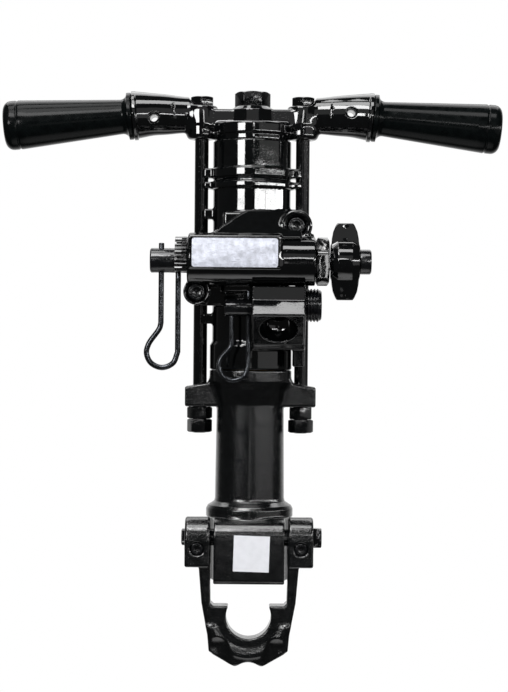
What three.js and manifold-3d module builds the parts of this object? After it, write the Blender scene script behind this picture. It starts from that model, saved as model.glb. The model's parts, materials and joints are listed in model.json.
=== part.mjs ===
// Pneumatic rock drill with a T-handle, standing upright on its drill axis.
// Millimetres, +Z up. The origin is on the drill axis at the mouth of the nose.
// The controls face -Y; the hose nipple and the throttle knob are at +X.

import * as THREE from 'three';
import { mergeVertices } from 'three/addons/utils/BufferGeometryUtils.js';
import Module from 'manifold-3d';

const wasm = await Module();
wasm.setup();

// Clearances, the overrun of every cut, and the fineness of round faces
const seatGap = 0.3;
const runGap = 0.35;
const overrun = 3;
const edgeBreak = 1;
const mergeDistance = 1e-4;
const largeFaces = 24;
const mediumFaces = 16;
const boltFaces = 12;
const smallFaces = 8;
const widestArc = Math.PI / 9;
const filletFaces = 2;

// Lengths that stack up along the drill axis, from the nose
const frontHeadLength = 208.4;
const cylinderLength = 188.6;
const housingLength = 38.1;

// Side bolts with their heads, nuts and guide ears
const boltOffset = 50.5;
const boltRadius = 6.9;
const boltHoleRadius = 7.25;
const boltHeadFlats = 22;
const boltHeadHeight = 9;
const boltSpotRadius = 13.2;
const boltSpotHeight = 25;
const boltTail = 0.6;
const boltEdge = 0.8;
const nutFlats = 21.8;
const nutHeight = 11.9;
const locknutHeight = 13.2;
const nutChamfer = 1.3;
const earRoot = 26;
const earReach = 50.2;
const earHalfDepth = 9.6;
const earCorner = 4;

// Backhead: neck, flange, hub, bolt bosses and the ridge between them
const neckRadius = 37;
const neckHeight = 7.1;
const flangeRadius = 38.8;
const flangeThickness = 10.6;
const flangeEdge = 1.4;
const hubRadius = 17.7;
const hubFootRadius = 21.5;
const hubHeight = 17.4;
const hubChamferHeight = 4;
const bossRadius = 15.2;
const bossLift = 2;
const bossHeight = 33.3;
const bossBottomRound = 5.5;
const bossTopRound = 2.2;
const ridgeHalfDepth = 17;
const ridgeTopHalfDepth = 10;
const ridgeHeight = 14.1;
const spigotRadius = 30;
const spigotGapBelow = 0.4;

// Handle arms, their sockets and cross pins
const armHeight = 25.2;
const armMouthOffset = 119.5;
const armRootHalfDepth = 12.5;
const armRootHalfHeight = 17.8;
const armMouthRadius = 24.4;
const armLipLength = 4;
const armRise = 1.4;
const armRootShare = 0.25;
const armSwellShares = [[0.5, 0.35, 1.2], [0.75, 0.52, 1.35]];
const armLipEdge = 0.7;
const armFaces = 14;
const gripDroop = THREE.MathUtils.degToRad(5);
const socketRadius = 14.5;
const socketDepth = 42;
const crossPinOffset = 98;
const crossPinRadius = 5;
const crossPinBore = 3.9;
const crossPinHalfLength = 17;
const crossPinShift = 3.2;

// Grips
const gripLength = 128.6;
const gripSpigotRadius = 14.2;
const gripSpigotLength = 40;
const gripFlangeRadius = 23.5;
const gripFlangeThickness = 4.6;
const gripWaistRadius = 17.15;
const gripWaistPlace = 11.5;
const gripEndRadius = 24.45;
const gripEndRound = 8;
const gripEdge = 1.6;
const gripCoveShares = [0, 1 / 3, 1];
const gripDomeShares = [0, 1 / 3, 2 / 3, 1];

// Water tube, its plug and seal
const plugFlats = 30.8;
const plugHeight = 14.2;
const plugChamfer = 1.6;
const plugShankRadius = 12.9;
const plugShankLength = 24;
const waterTubeRadius = 3;
const waterTubeBore = 1.7;
const waterTubeHeadRadius = 6.8;
const waterTubeHeadThickness = 4;
const waterTubeEnd = 95;
const waterTubeHole = 3.8;
const sealRadius = 7.2;
const sealHeight = 8;

// Ratchet housing, ratchet ring and pawls
const housingRadius = 39.1;
const housingFlangeRadius = 41;
const housingFlangeLift = 1.7;
const housingFlangeHeight = 9.7;
const ratchetRingRadius = 34;
const ratchetRingHeight = 17;
const ratchetTipRadius = 25.4;
const ratchetRootRadius = 28.6;
const ratchetTeeth = 20;
const ratchetSlopeShare = 0.82;
const rifleHeadRadius = 22;
const pawlCount = 4;
const pawlPivotOffset = 17.6;
const pawlPivotRadius = 3;
const pawlTipRadius = 1.7;
const pawlLength = 7.6;
const pawlLean = THREE.MathUtils.degToRad(50);
const pawlPocketGap = 0.5;

// Cylinder
const cylinderRadius = 38.75;
const cylinderBore = 32;
const cylinderFloor = 27;
const cylinderFloorBore = 18;
const waistRadius = 41;
const waistHeight = 28.3;
const waistChamfer = 4.2;
const cylinderFlangeRadius = 41;
const cylinderFlangeHeight = 6.6;
const cylinderFlangeDrop = 1.8;
const valvePocketRadius = 34;
const valvePocketDepth = 16.2;
const earBandHeight = 10.3;
const upperEarDrop = 39;
const lowerEarLift = 45.4;
const padHalfWidth = 27.8;
const padFront = 43;
const padDrop = 31;
const padHeight = 80;

// Exhaust and inlet chest on the cylinder
const chestLeft = 0.8;
const chestWidth = 52;
const chestBack = 20;
const chestHeight = 61.3;
const chestTopDepth = 58;
const chestBrowDrop = 13.3;
const chestBrowDepth = 68;
const chestNoseDrop = 28.2;
const chestNoseDepth = 83;
const chestFootRise = 4.6;
const chestFootDepth = 50;
const chestGap = 0.5;
const chestEdge = 1.4;
const chestRound = 3;
const exhaustRadius = 18;
const exhaustDepth = 14;
const exhaustThroatRadius = 15;
const exhaustThroatDepth = 21;
const exhaustPortRadius = 8;
const tailHeight = 17;
const tailWidth = 11.6;
const tailDepth = 34;

// Hose nipple on the right of the chest
const nippleRadius = 16.2;
const nippleBore = 10.8;
const nippleLength = 15.5;
const nippleTailRadius = 13.6;
const nippleTailLength = 9;
const nippleDrop = 18.1;
const nippleDepth = 50;
const nippleChamfer = 1.5;

// Lower clip socket on the left of the chest
const lowerSocketRadius = 8.5;
const lowerSocketLength = 25.9;
const lowerSocketDrop = 20.7;
const lowerSocketTailRadius = 5.6;
const lowerSocketTailLength = 8;
const lowerSocketBore = 4;
const lowerSocketBoreDepth = 14;
const socketChamfer = 1.2;

// Control block, bolted to the pad by two cap screws
const barrelRadius = 23.6;
const barrelDepth = 60;
const barrelDrop = 82.8;
const barrelHalfLength = 62;
const blockTopLift = 27.1;
const blockBottomDrop = 20.8;
const blockInset = 1.4;
const faceDepth = 85;
const faceTopLift = 24;
const faceBottomDrop = 7.6;
const faceRight = 28.9;
const blockEdge = 1.6;
const blockRound = 3;
const gussetLeft = 40.3;
const gussetCrownLeft = 4.8;
const gussetRightInset = 13.4;
const gussetRound = 5;
const gussetTopLift = 51.1;
const gussetTopDepth = 46;
const gussetFootDepth = 74;
const upperBossInset = 18.4;
const upperBossLift = 34.7;
const upperBossRadius = 15.4;
const lowerBossInset = 9;
const lowerBossDrop = 30;
const lowerBossRadius = 12.8;
const bossFaceDepth = 62;
const bossBackDepth = 30;
const lugBackDepth = 10;
const lugRootOffset = 18;
const screwHoleRadius = 5.3;
const screwShankRadius = 5;
const screwHeadRadius = 8.4;
const screwHeadHeight = 10;
const screwSink = 1.6;
const counterboreRadius = 9.4;
const screwSocketFlats = 8;
const screwSocketDepth = 5;
const screwLength = 48;

// Name plate on the face of the control block
const plateInset = 3.6;
const plateWidth = 82.6;
const plateHeight = 27.8;
const plateThickness = 1.2;
const plateCorner = 2.5;
const plateTopGap = 3.1;

// Left end of the control block: serrated collar and clip socket
const collarRingRadius = 23.2;
const collarRingWidth = 11.3;
const collarRingDrop = 11.1;
const serrationCount = 36;
const serrationDepth = 1.3;
const portSocketRadius = 12;
const portSocketLength = 35.6;
const portTailRadius = 9;
const portTailLength = 11;
const portBore = 6;
const portBoreDepth = 9;

// Right end: gland nut, throttle spindle, wing knob and end nut
const glandFlats = 41.1;
const glandWidth = 13.1;
const glandChamfer = 1.8;
const glandTurn = THREE.MathUtils.degToRad(-18);
const glandTailRadius = 15.6;
const glandTailLength = 13.5;
const spindleRadius = 14.2;
const spindleLength = 86;
const spindlePortRadius = 7;
const spindlePortPlace = 34;
const stemRadius = 8;
const knobGap = 1.5;
const knobWidth = 27.6;
const knobHubRadius = 19.4;
const knobHubEndRadius = 16;
const knobHalfSpan = 37.2;
const knobTipWidth = 15.3;
const knobTipHalfThickness = 5;
const knobRootHalfThickness = 11;
const knobOutlineShares = [[0.7, 0.8], [0.88, 0.62], [0.98, 0.36], [1, 0]];
const knobTipRound = 2.5;
const endNutRadius = 12.1;
const endNutLength = 11.4;
const endNutBore = 5.3;
const endNutChamfer = 1.4;

// Spring wire clips: each has a straight leg, a round loop and a leg with a kink
const clipWireRadius = 2.7;
const clipPinInset = 10.8;
const clipPinProud = 17;
const clipSpan = 16.4;
const clipLegTop = 11.4;
const clipKinkDrop = 60.4;
const clipLoopDrop = 88.7;
const clipLoopRadius = 15.1;
const shortWireRadius = 2.35;
const shortPinInset = 2.85;
const shortPinProud = 16.9;
const shortSpan = 16.2;
const shortLegTop = 7.8;
const shortKinkDrop = 33.9;
const shortLoopDrop = 57;
const shortLoopRadius = 14.2;
const clipHoleGap = 0.35;
const clipFaces = 6;
const clipSteps = 32;
const clipLoopAngles = [150, 185, 225, 270, 315];
const clipKinkShares = [0.5, 2];

// Front head: shoulder, bolt lugs, tube, flare, collar and nose
const shoulderRadius = 41;
const shoulderHeight = 11.5;
const shoulderBlend = 23;
const tubeTopRadius = 33.5;
const tubeBottomRadius = 34.5;
const collarRadius = 43.3;
const collarThickness = 9;
const collarEdge = 1.6;
const collarSink = 1.2;
const flareHeight = 10.5;
const flareShares = [[0.8, 0.31], [0.43, 0.5], [0.08, 0.71]];
const shoulderShares = [0.5, 2 / 3];
const lugHalfWidth = 65;
const lugBottom = 171.7;
const lugSideHeight = 19.9;
const lugCrownLift = 3.5;
const lugCrownOffset = 43.7;
const lugHalfDepth = 14;
const lugCorner = 4;
const lugEdge = 1.6;
const hingeHeight = 44.5;
const hingeDepth = 36;
const noseBarrelRadius = 18.2;
const noseHalfWidth = 34.6;
const noseBodyRadius = 40.6;
const noseEdge = 1.6;
const noseFootRound = 3;
const mouthRadius = 15.6;
const mouthLip = 8;
const chuckBore = 22.8;
const chuckBoreTop = 55;
const headBore = 26.1;
const guidePocketDepth = 9.9;

// Retainer yoke with its hinge pin and grub screws
const yokeBossInner = 38.1;
const yokeBossOuter = 62.7;
const yokeBossRadius = 20;
const yokeBossDrop = 27.9;
const yokeBossCorner = 3;
const yokeHalfThickness = 13;
const yokeEdge = 3;
const armOuterTop = 49.3;
const armOuterMiddle = 46.3;
const armOuterLow = 40.4;
const yokeMiddleDrop = 63.3;
const yokeLowDrop = 94.5;
const yokeInnerWaist = 37.2;
const yokeWindowRadius = 21.9;
const yokeWindowDrop = 76.2;
const yokeStepDrop = 66.1;
const yokeStepCorner = 4;
const yokeFootHalfWidth = 38.9;
const yokeFootDrop = 110.6;
const yokeToeOffset = 14;
const yokeBottomDrop = 125;
const yokeToeCorner = 4;
const toeNotchRadius = 16.5;
const toeNotchDepth = 4.2;
const forkTopDrop = 104;
const forkBack = 14;
const forkNotchRadius = 13.5;
const forkHalfWidth = 36;
const hingePinRadius = 8.2;
const hingePinHoleRadius = 8.5;
const hingePinProud = 3.6;
const hingeHeadFlats = 18.5;
const hingeHeadHeight = 8;
const hingePinEdge = 1;
const grubOffset = 50.6;
const grubDrop = 9.8;
const grubRadius = 6.1;
const grubHoleRadius = 6.5;
const grubLength = 9;
const grubSink = 1.6;
const grubSocketFlats = 6;
const grubSocketDepth = 4;

// Chuck, its nut and hexagonal bushing
const chuckLength = 134.7;
const chuckInnerRadius = 18.3;
const bushingLength = 95;
const bushingRadius = 18;
const steelFlats = 25.6;
const chuckNutHeight = 50;
const splineCount = 4;
const splineWidth = 7.2;
const splineTipRadius = 15;
const splineGap = 0.45;

// Piston, rifle nut and rifle bar
const pistonHeadLength = 50;
const pistonStemRadius = 16.8;
const pistonStemLength = 150.3;
const pistonBore = 12.4;
const pistonBoreDepth = 107;
const pistonGrooveDepth = 1.4;
const pistonGrooveWidth = 3;
const pistonEdge = 1.5;
const fluteLength = 98;
const rifleNutRadius = 15.8;
const rifleNutHeight = 24.6;
const rifleLead = 600;
const rifleCoreRadius = 8.6;
const rifleRibRadius = 11.2;
const rifleRibs = 4;
const rifleRibShare = 0.42;
const rifleKeyShare = 0.4;
const rifleGap = 0.5;
const rifleBarLength = 123.8;
const rifleStep = 21;

// Piston guide
const guideHeight = 30;
const guideBore = 17.2;

// Valve chest, valve and valve guide
const valveChestHeight = 9;
const valveRecessRadius = 25;
const valveRecessDepth = 6;
const valveBore = 13;
const valveOuterRadius = 24.6;
const valveThickness = 3;
const valveInnerRadius = 14;
const valveGuideHeight = 6;

// Blank label on the flat of the nose
const labelSize = 35;
const labelThickness = 0.3;
const labelHeight = 30.1;
const labelShift = 2.4;
const labelTurn = THREE.MathUtils.degToRad(-1.5);

// Heights along the drill axis that follow from the stack
const cylinderBottom = frontHeadLength + seatGap;
const cylinderTop = cylinderBottom + cylinderLength;
const housingBottom = cylinderTop + seatGap;
const housingTop = housingBottom + housingLength;
const backheadBottom = housingTop + seatGap;
const flangeTop = backheadBottom + neckHeight + flangeThickness;
const hubTop = flangeTop + hubHeight;
const armAxisHeight = backheadBottom + armHeight;
const boltBossBottom = backheadBottom + bossLift;
const boltBossTop = boltBossBottom + bossHeight;
const noseTop = hingeHeight + noseBarrelRadius;
const collarBottom = noseTop - collarSink;
const collarTop = collarBottom + collarThickness;
const flareTop = collarTop + flareHeight;
const valveShoulder = cylinderTop - valvePocketDepth;
const barrelHeight = cylinderTop - barrelDrop;
const barrelBottom = barrelHeight - barrelRadius;
const blockHalfWidth = barrelHalfLength - blockInset;
const gussetRight = barrelHalfLength - gussetRightInset;
const upperBossX = barrelHalfLength - upperBossInset;
const lowerBossX = barrelHalfLength - lowerBossInset;
const plateLeft = blockHalfWidth - plateInset;
const chestTop = barrelBottom - chestGap;
const padTop = barrelHeight - padDrop + padHeight;
const blockBack = padFront + seatGap;
const guideBottom = frontHeadLength - guidePocketDepth + seatGap;
const guideTop = guideBottom + guideHeight;
const pistonSeat = guideTop + cylinderFloor;
const nutTop = lugBottom - seatGap;
const locknutTop = nutTop - nutHeight - seatGap;
const boltEnd = locknutTop - locknutHeight - boltTail;

// A round bar that turns in a bore clears the flats between the corners of the bore
const turnsIn = (boreRadius, faces) => boreRadius * Math.cos(Math.PI / faces) - runGap;
const chuckRadius = turnsIn(chuckBore, mediumFaces);
const chuckHeadRadius = turnsIn(headBore, mediumFaces);

// Solids: from geometry to a closed body, and back to geometry
function solid(geometry) {
  const bare = new THREE.BufferGeometry();
  bare.setAttribute('position', geometry.getAttribute('position').clone());
  bare.setIndex(geometry.index);
  const merged = mergeVertices(bare, mergeDistance);
  const corners = Array.from(merged.index.array);
  const place = merged.getAttribute('position');
  const kept = [];
  let volume = 0;
  for (let i = 0; i < corners.length; i += 3) {
    const [a, b, c] = corners.slice(i, i + 3);
    if (a !== b && b !== c && c !== a) {
      kept.push(a, b, c);
      const [p, q, r] = [a, b, c].map((k) => new THREE.Vector3().fromBufferAttribute(place, k));
      volume += p.dot(q.cross(r));
    }
  }
  if (volume < 0) kept.reverse();
  return new wasm.Manifold(new wasm.Mesh({
    numProp: 3,
    vertProperties: new Float32Array(place.array),
    triVerts: new Uint32Array(kept),
  }));
}

function geometryOf(body) {
  const mesh = body.getMesh();
  const geometry = new THREE.BufferGeometry();
  geometry.setAttribute('position', new THREE.BufferAttribute(mesh.vertProperties, 3));
  geometry.setIndex(new THREE.BufferAttribute(mesh.triVerts, 1));
  geometry.computeVertexNormals();
  return geometry;
}

const join = (...geometries) => geometries.map(asSolid).reduce((sum, next) => sum.add(next));
const cut = (body, ...tools) => tools.map(asSolid).reduce((rest, tool) => rest.subtract(tool), asSolid(body));
const common = (first, second) => asSolid(first).intersect(asSolid(second));
const mirrored = (body) => solid(geometryOf(asSolid(body)).scale(-1, 1, 1));

function asSolid(shape) {
  return shape.isBufferGeometry ? solid(shape) : shape;
}

// Basic forms, each drawn along +Z
function turned(profile, faces = largeFaces) {
  const points = profile.map(([radius, height]) => new THREE.Vector2(radius, height));
  return new THREE.LatheGeometry(points, faces).rotateX(Math.PI / 2);
}

function turnedRing(profile, faces = largeFaces) {
  return turned([...profile, profile[0]], faces);
}

function rod(radius, from, to, faces = mediumFaces, edgeFrom = 0, edgeTo = edgeFrom) {
  return turned([
    [0, from],
    [radius - edgeFrom, from],
    [radius, from + edgeFrom],
    [radius, to - edgeTo],
    [radius - edgeTo, to],
    [0, to],
  ], faces);
}

function sleeve(outer, inner, from, to, faces = mediumFaces) {
  return turnedRing([[inner, from], [outer, from], [outer, to], [inner, to]], faces);
}

function hexBar(flats, from, to, turn = 0) {
  const radius = flats / 2 / Math.cos(Math.PI / 6);
  return new THREE.CylinderGeometry(radius, radius, to - from, 6)
    .rotateY(turn)
    .rotateX(Math.PI / 2)
    .translate(0, 0, (from + to) / 2);
}

function hexNut(flats, from, to, chamfer, turn = 0) {
  const corner = flats / 2 / Math.cos(Math.PI / 6);
  return common(hexBar(flats, from, to, turn), rod(corner, from, to, boltFaces, chamfer));
}

// Outlines with rounded corners, given as [x, y, radius], and slabs cut from them
function outline(corners) {
  const shape = new THREE.Shape();
  corners.forEach(([x, y, radius = 0], index) => {
    const corner = new THREE.Vector2(x, y);
    const last = corners[(index + corners.length - 1) % corners.length];
    const next = corners[(index + 1) % corners.length];
    const back = new THREE.Vector2(last[0], last[1]).sub(corner).normalize();
    const ahead = new THREE.Vector2(next[0], next[1]).sub(corner).normalize();
    const reach = radius / Math.tan(back.angleTo(ahead) / 2);
    const start = corner.clone().addScaledVector(back, reach);
    const end = corner.clone().addScaledVector(ahead, reach);
    if (index === 0) {
      shape.moveTo(start.x, start.y);
    } else {
      shape.lineTo(start.x, start.y);
    }
    if (radius > 0) shape.quadraticCurveTo(corner.x, corner.y, end.x, end.y);
  });
  shape.closePath();
  return shape;
}

const mirrorCorners = (corners) => [...corners, ...corners.map(([x, ...rest]) => [-x, ...rest]).reverse()];

function slab(shape, thickness, edge = 0, curveFaces = filletFaces) {
  return new THREE.ExtrudeGeometry(shape, {
    depth: thickness - 2 * edge,
    steps: 1,
    curveSegments: curveFaces,
    bevelEnabled: edge > 0,
    bevelThickness: edge,
    bevelSize: edge,
    bevelOffset: -edge,
    bevelSegments: 1,
  }).translate(0, 0, edge);
}

// A slab drawn in plan, in the front view (x, z) or in the side view (y, z)
const planSlab = (shape, bottom, thickness, edge, curveFaces) =>
  slab(shape, thickness, edge, curveFaces).translate(0, 0, bottom);

const frontSlab = (shape, back, thickness, edge, curveFaces) =>
  slab(shape, thickness, edge, curveFaces).rotateX(Math.PI / 2).translate(0, back, 0);

const sideAxes = new THREE.Matrix4().makeBasis(
  new THREE.Vector3(0, 1, 0),
  new THREE.Vector3(0, 0, 1),
  new THREE.Vector3(1, 0, 0),
);

const sideSlab = (shape, left, thickness, edge, curveFaces) =>
  slab(shape, thickness, edge, curveFaces).applyMatrix4(sideAxes).translate(left, 0, 0);

const block = (width, depth, height, x, y, z) =>
  new THREE.BoxGeometry(width, depth, height).translate(x, y, z);

const alongX = (geometry, y, z) => geometry.rotateY(Math.PI / 2).translate(0, y, z);
const towardFront = (geometry, x, z) => geometry.rotateX(Math.PI / 2).translate(x, 0, z);
const throughDepth = (radius, half, x, z, faces) => towardFront(rod(radius, -half, half, faces), x, z);

// A body through rings of points, each ring with as many points as the last
function loft(rings) {
  const count = rings[0].length;
  const points = rings.flat();
  const firstCentre = points.length;
  const middle = (ring) => ring.reduce((sum, p) => sum.add(p), new THREE.Vector3()).divideScalar(count);
  points.push(middle(rings[0]), middle(rings[rings.length - 1]));
  const faces = [];
  const lastRing = (rings.length - 1) * count;
  for (let k = 0; k < count; k += 1) {
    const next = (k + 1) % count;
    for (let base = 0; base < lastRing; base += count) {
      faces.push(base + k, base + next, base + count + next);
      faces.push(base + k, base + count + next, base + count + k);
    }
    faces.push(firstCentre, next, k);
    faces.push(firstCentre + 1, lastRing + k, lastRing + next);
  }
  const geometry = new THREE.BufferGeometry().setFromPoints(points);
  geometry.setIndex(faces);
  return geometry;
}

// A closed outline given in polar form, as a list of [radius, angle]
const polarPoint = ([radius, angle]) => new THREE.Vector2(radius * Math.cos(angle), radius * Math.sin(angle));
const polarShape = (places) => new THREE.Shape(places.map(polarPoint));

// The same polar outline, with points added along its arcs so that they stay round
function withArcs(places) {
  return places.flatMap(([radius, angle], index) => {
    const [nextRadius, nextAngle] = places[(index + 1) % places.length];
    const sweep = nextAngle < angle ? nextAngle + 2 * Math.PI - angle : nextAngle - angle;
    const parts = radius === nextRadius ? Math.ceil(sweep / widestArc) : 1;
    return Array.from({ length: parts }, (_, k) => [radius, angle + sweep * k / parts]);
  });
}

// A polar outline drawn up the axis and twisted by one turn per lead
function twisted(places, from, to, lead) {
  const steps = Math.ceil((to - from) / rifleStep);
  const rings = Array.from({ length: steps + 1 }, (_, step) => {
    const height = from + (to - from) * step / steps;
    const turn = 2 * Math.PI * height / lead;
    return places.map(([radius, angle]) => {
      const point = polarPoint([radius, angle + turn]);
      return new THREE.Vector3(point.x, point.y, height);
    });
  });
  return loft(rings);
}

// The model and its materials
const drill = new THREE.Group();

function piece(name, shape, [color, roughness, metalness]) {
  const look = new THREE.MeshStandardMaterial({ color, roughness, metalness });
  const mesh = new THREE.Mesh(geometryOf(asSolid(shape)), look);
  mesh.name = name;
  drill.add(mesh);
  return mesh;
}

const paint = [0x0b0c0f, 0.3, 0.2];
const roughPaint = [0x101114, 0.45, 0.2];
const blackSteel = [0x121317, 0.35, 0.7];
const plastic = [0x08090b, 0.22, 0];
const steel = [0x8d9096, 0.35, 1];
const hardSteel = [0x6c7076, 0.3, 1];
const bronze = [0x9a7440, 0.4, 1];
const rubber = [0x141414, 0.8, 0];
const aluminium = [0xd5d7da, 0.4, 0.9];
const paper = [0xf2f4f6, 0.7, 0];
const springSteel = [0x2a2c31, 0.3, 0.9];

// Guide ear: a fork on a round body that holds a side bolt from inside
function boltEar(bottom, height) {
  const ear = outline([
    [earRoot, -earHalfDepth],
    [earReach, -earHalfDepth, earCorner],
    [earReach, earHalfDepth, earCorner],
    [earRoot, earHalfDepth],
  ]);
  return planSlab(ear, bottom, height);
}

const boltHole = (from, to) => rod(boltHoleRadius, from, to, boltFaces).translate(boltOffset, 0, 0);

function bothSides(body) {
  return join(body, mirrored(body));
}

// Points of the handle axis beyond the mouth of an arm, right-hand side
const onGrip = (geometry) =>
  geometry.rotateY(Math.PI / 2 + gripDroop).translate(armMouthOffset, 0, armAxisHeight);

// Backhead
function armRing(offset, halfDepth, halfHeight, tilt, rise = 0) {
  return Array.from({ length: armFaces }, (_, k) => {
    const angle = 2 * Math.PI * k / armFaces;
    const up = halfHeight * Math.sin(angle);
    return new THREE.Vector3(
      offset + up * Math.sin(tilt),
      halfDepth * Math.cos(angle),
      armAxisHeight + rise + up * Math.cos(tilt),
    );
  });
}

// The right arm swells from its root to its mouth; each swell is [place, size, rise]
function arm() {
  const span = armMouthOffset - boltOffset;
  const swells = armSwellShares.map(([place, size, rise], index) => armRing(
    boltOffset + span * place,
    armRootHalfDepth + (armMouthRadius - armRootHalfDepth) * size,
    armRootHalfHeight + (armMouthRadius - armRootHalfHeight) * size,
    gripDroop * (index + 1) / armSwellShares.length,
    armRise * rise,
  ));
  const lipRadius = armMouthRadius - armLipEdge;
  return loft([
    armRing(boltOffset, armRootHalfDepth, armRootHalfHeight, 0, armRise),
    armRing(boltOffset + span * armRootShare, armRootHalfDepth, armRootHalfHeight, 0, armRise),
    ...swells,
    armRing(armMouthOffset - armLipLength, lipRadius, lipRadius, gripDroop),
    armRing(armMouthOffset, armMouthRadius, armMouthRadius, gripDroop),
  ]);
}

const crossPinHeight = (side) => armAxisHeight + side * crossPinShift;

function backheadBody() {
  const spigotBottom = housingBottom + ratchetRingHeight + spigotGapBelow;
  const core = turned([
    [0, spigotBottom],
    [spigotRadius, spigotBottom],
    [spigotRadius, backheadBottom],
    [neckRadius, backheadBottom],
    [neckRadius, backheadBottom + neckHeight - flangeEdge],
    [flangeRadius, backheadBottom + neckHeight],
    [flangeRadius, flangeTop - flangeEdge],
    [flangeRadius - flangeEdge, flangeTop],
    [hubFootRadius, flangeTop + flangeEdge],
    [hubFootRadius, hubTop - hubChamferHeight],
    [hubRadius, hubTop],
    [0, hubTop],
  ]);
  const boss = turned([
    [0, boltBossBottom],
    [bossRadius - bossBottomRound, boltBossBottom],
    [bossRadius, boltBossBottom + bossBottomRound],
    [bossRadius, boltBossTop - bossTopRound],
    [bossRadius - bossTopRound, boltBossTop],
    [0, boltBossTop],
  ], mediumFaces).translate(boltOffset, 0, 0);
  const ridge = sideSlab(outline([
    [-ridgeHalfDepth, flangeTop - flangeThickness / 2],
    [-ridgeTopHalfDepth, flangeTop + ridgeHeight, bossTopRound],
    [ridgeTopHalfDepth, flangeTop + ridgeHeight, bossTopRound],
    [ridgeHalfDepth, flangeTop - flangeThickness / 2],
  ]), -boltOffset, 2 * boltOffset, 0);
  const side = cut(
    join(boss, arm()),
    onGrip(rod(socketRadius, -socketDepth, overrun)),
    boltHole(boltBossBottom - overrun, boltBossTop + overrun),
  );
  const plain = join(core, ridge, side, mirrored(side));
  const plugBottom = hubTop - plugShankLength;
  const sealPlace = plugBottom - waterTubeHeadThickness - sealHeight - seatGap;
  return cut(
    plain,
    boltHole(boltBossBottom - overrun, boltBossTop + overrun),
    boltHole(boltBossBottom - overrun, boltBossTop + overrun).translate(-2 * boltOffset, 0, 0),
    ...[1, -1].map((sign) => throughDepth(
      crossPinRadius + seatGap,
      armMouthRadius + overrun,
      sign * crossPinOffset,
      crossPinHeight(sign),
      smallFaces,
    )),
    ...[1, -1].map((sign) => rod(boltSpotRadius, boltBossTop, boltBossTop + boltSpotHeight, boltFaces)
      .translate(sign * boltOffset, 0, 0)),
    rod(plugShankRadius + seatGap, plugBottom, hubTop + overrun),
    rod(sealRadius + seatGap, sealPlace, hubTop, smallFaces),
    rod(waterTubeHole, spigotBottom - overrun, hubTop, smallFaces),
  );
}

// Grips, drawn along +Z from the mouth of the arm
function grip() {
  const end = gripLength;
  const flangeEnd = seatGap + gripFlangeThickness;
  const cove = (share) => [
    gripFlangeRadius + (gripWaistRadius - gripFlangeRadius) * Math.sin(share * Math.PI / 2),
    flangeEnd + (gripWaistPlace - flangeEnd) * (1 - Math.cos(share * Math.PI / 2)),
  ];
  const dome = (share) => [
    gripEndRadius - gripEndRound * (1 - Math.cos(share * Math.PI / 2)),
    end - gripEndRound * (1 - Math.sin(share * Math.PI / 2)),
  ];
  return turned([
    [0, -gripSpigotLength],
    [gripSpigotRadius - gripEdge, -gripSpigotLength],
    [gripSpigotRadius, gripEdge - gripSpigotLength],
    [gripSpigotRadius, seatGap],
    [gripFlangeRadius - gripEdge, seatGap],
    [gripFlangeRadius, seatGap + gripEdge],
    ...gripCoveShares.map(cove),
    ...gripDomeShares.map(dome),
    [0, end],
  ], mediumFaces);
}

function handles() {
  const rightHole = throughDepth(
    crossPinRadius + seatGap, armMouthRadius, crossPinOffset, crossPinHeight(1), smallFaces);
  const leftHole = throughDepth(
    crossPinRadius + seatGap, armMouthRadius, crossPinOffset, crossPinHeight(-1), smallFaces);
  piece('grip_right', cut(onGrip(grip()), rightHole), plastic);
  piece('grip_left', mirrored(cut(onGrip(grip()), leftHole)), plastic);
  const pin = () => sleeve(crossPinRadius, crossPinBore, -crossPinHalfLength, crossPinHalfLength, smallFaces);
  piece('grip_pin_right', towardFront(pin(), crossPinOffset, crossPinHeight(1)), blackSteel);
  piece('grip_pin_left', towardFront(pin(), -crossPinOffset, crossPinHeight(-1)), blackSteel);
}

// Water tube with its plug and seal
function waterParts() {
  const hexBottom = hubTop + seatGap;
  const shankBottom = hubTop - plugShankLength + seatGap;
  const plug = join(
    hexNut(plugFlats, hexBottom, hexBottom + plugHeight, plugChamfer, Math.PI / 6),
    rod(plugShankRadius, shankBottom, hexBottom + plugChamfer, mediumFaces, plugChamfer, 0),
  );
  piece('water_tube_plug', plug, paint);
  const headTop = shankBottom - seatGap;
  const headBottom = headTop - waterTubeHeadThickness;
  const tube = turnedRing([
    [waterTubeBore, waterTubeEnd],
    [waterTubeRadius, waterTubeEnd],
    [waterTubeRadius, headBottom],
    [waterTubeHeadRadius, headBottom],
    [waterTubeHeadRadius, headTop],
    [waterTubeBore, headTop],
  ], smallFaces);
  piece('water_tube', tube, steel);
  const sealTop = headBottom - seatGap;
  piece('water_tube_seal', sleeve(
    sealRadius, waterTubeRadius + seatGap, sealTop - sealHeight + seatGap, sealTop, smallFaces), rubber);
}

// Side bolts, nuts and locknuts
function sideBolts() {
  const headBottom = boltBossTop + seatGap;
  const headTop = headBottom + boltHeadHeight;
  const bolt = join(
    rod(boltRadius, boltEnd, headBottom + boltEdge, boltFaces, boltEdge, 0),
    hexNut(boltHeadFlats, headBottom, headTop, nutChamfer),
  );
  const nut = (top, height) => cut(
    hexNut(nutFlats, top - height, top, nutChamfer, Math.PI / 6),
    rod(boltHoleRadius, top - height - overrun, top + overrun, boltFaces),
  );
  for (const [side, name] of [[1, 'right'], [-1, 'left']]) {
    const placed = (body) => geometryOf(asSolid(body)).translate(side * boltOffset, 0, 0);
    piece(`side_bolt_${name}`, placed(bolt), paint);
    piece(`nut_${name}`, placed(nut(nutTop, nutHeight)), paint);
    piece(`locknut_${name}`, placed(nut(locknutTop, locknutHeight)), paint);
  }
}

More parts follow.
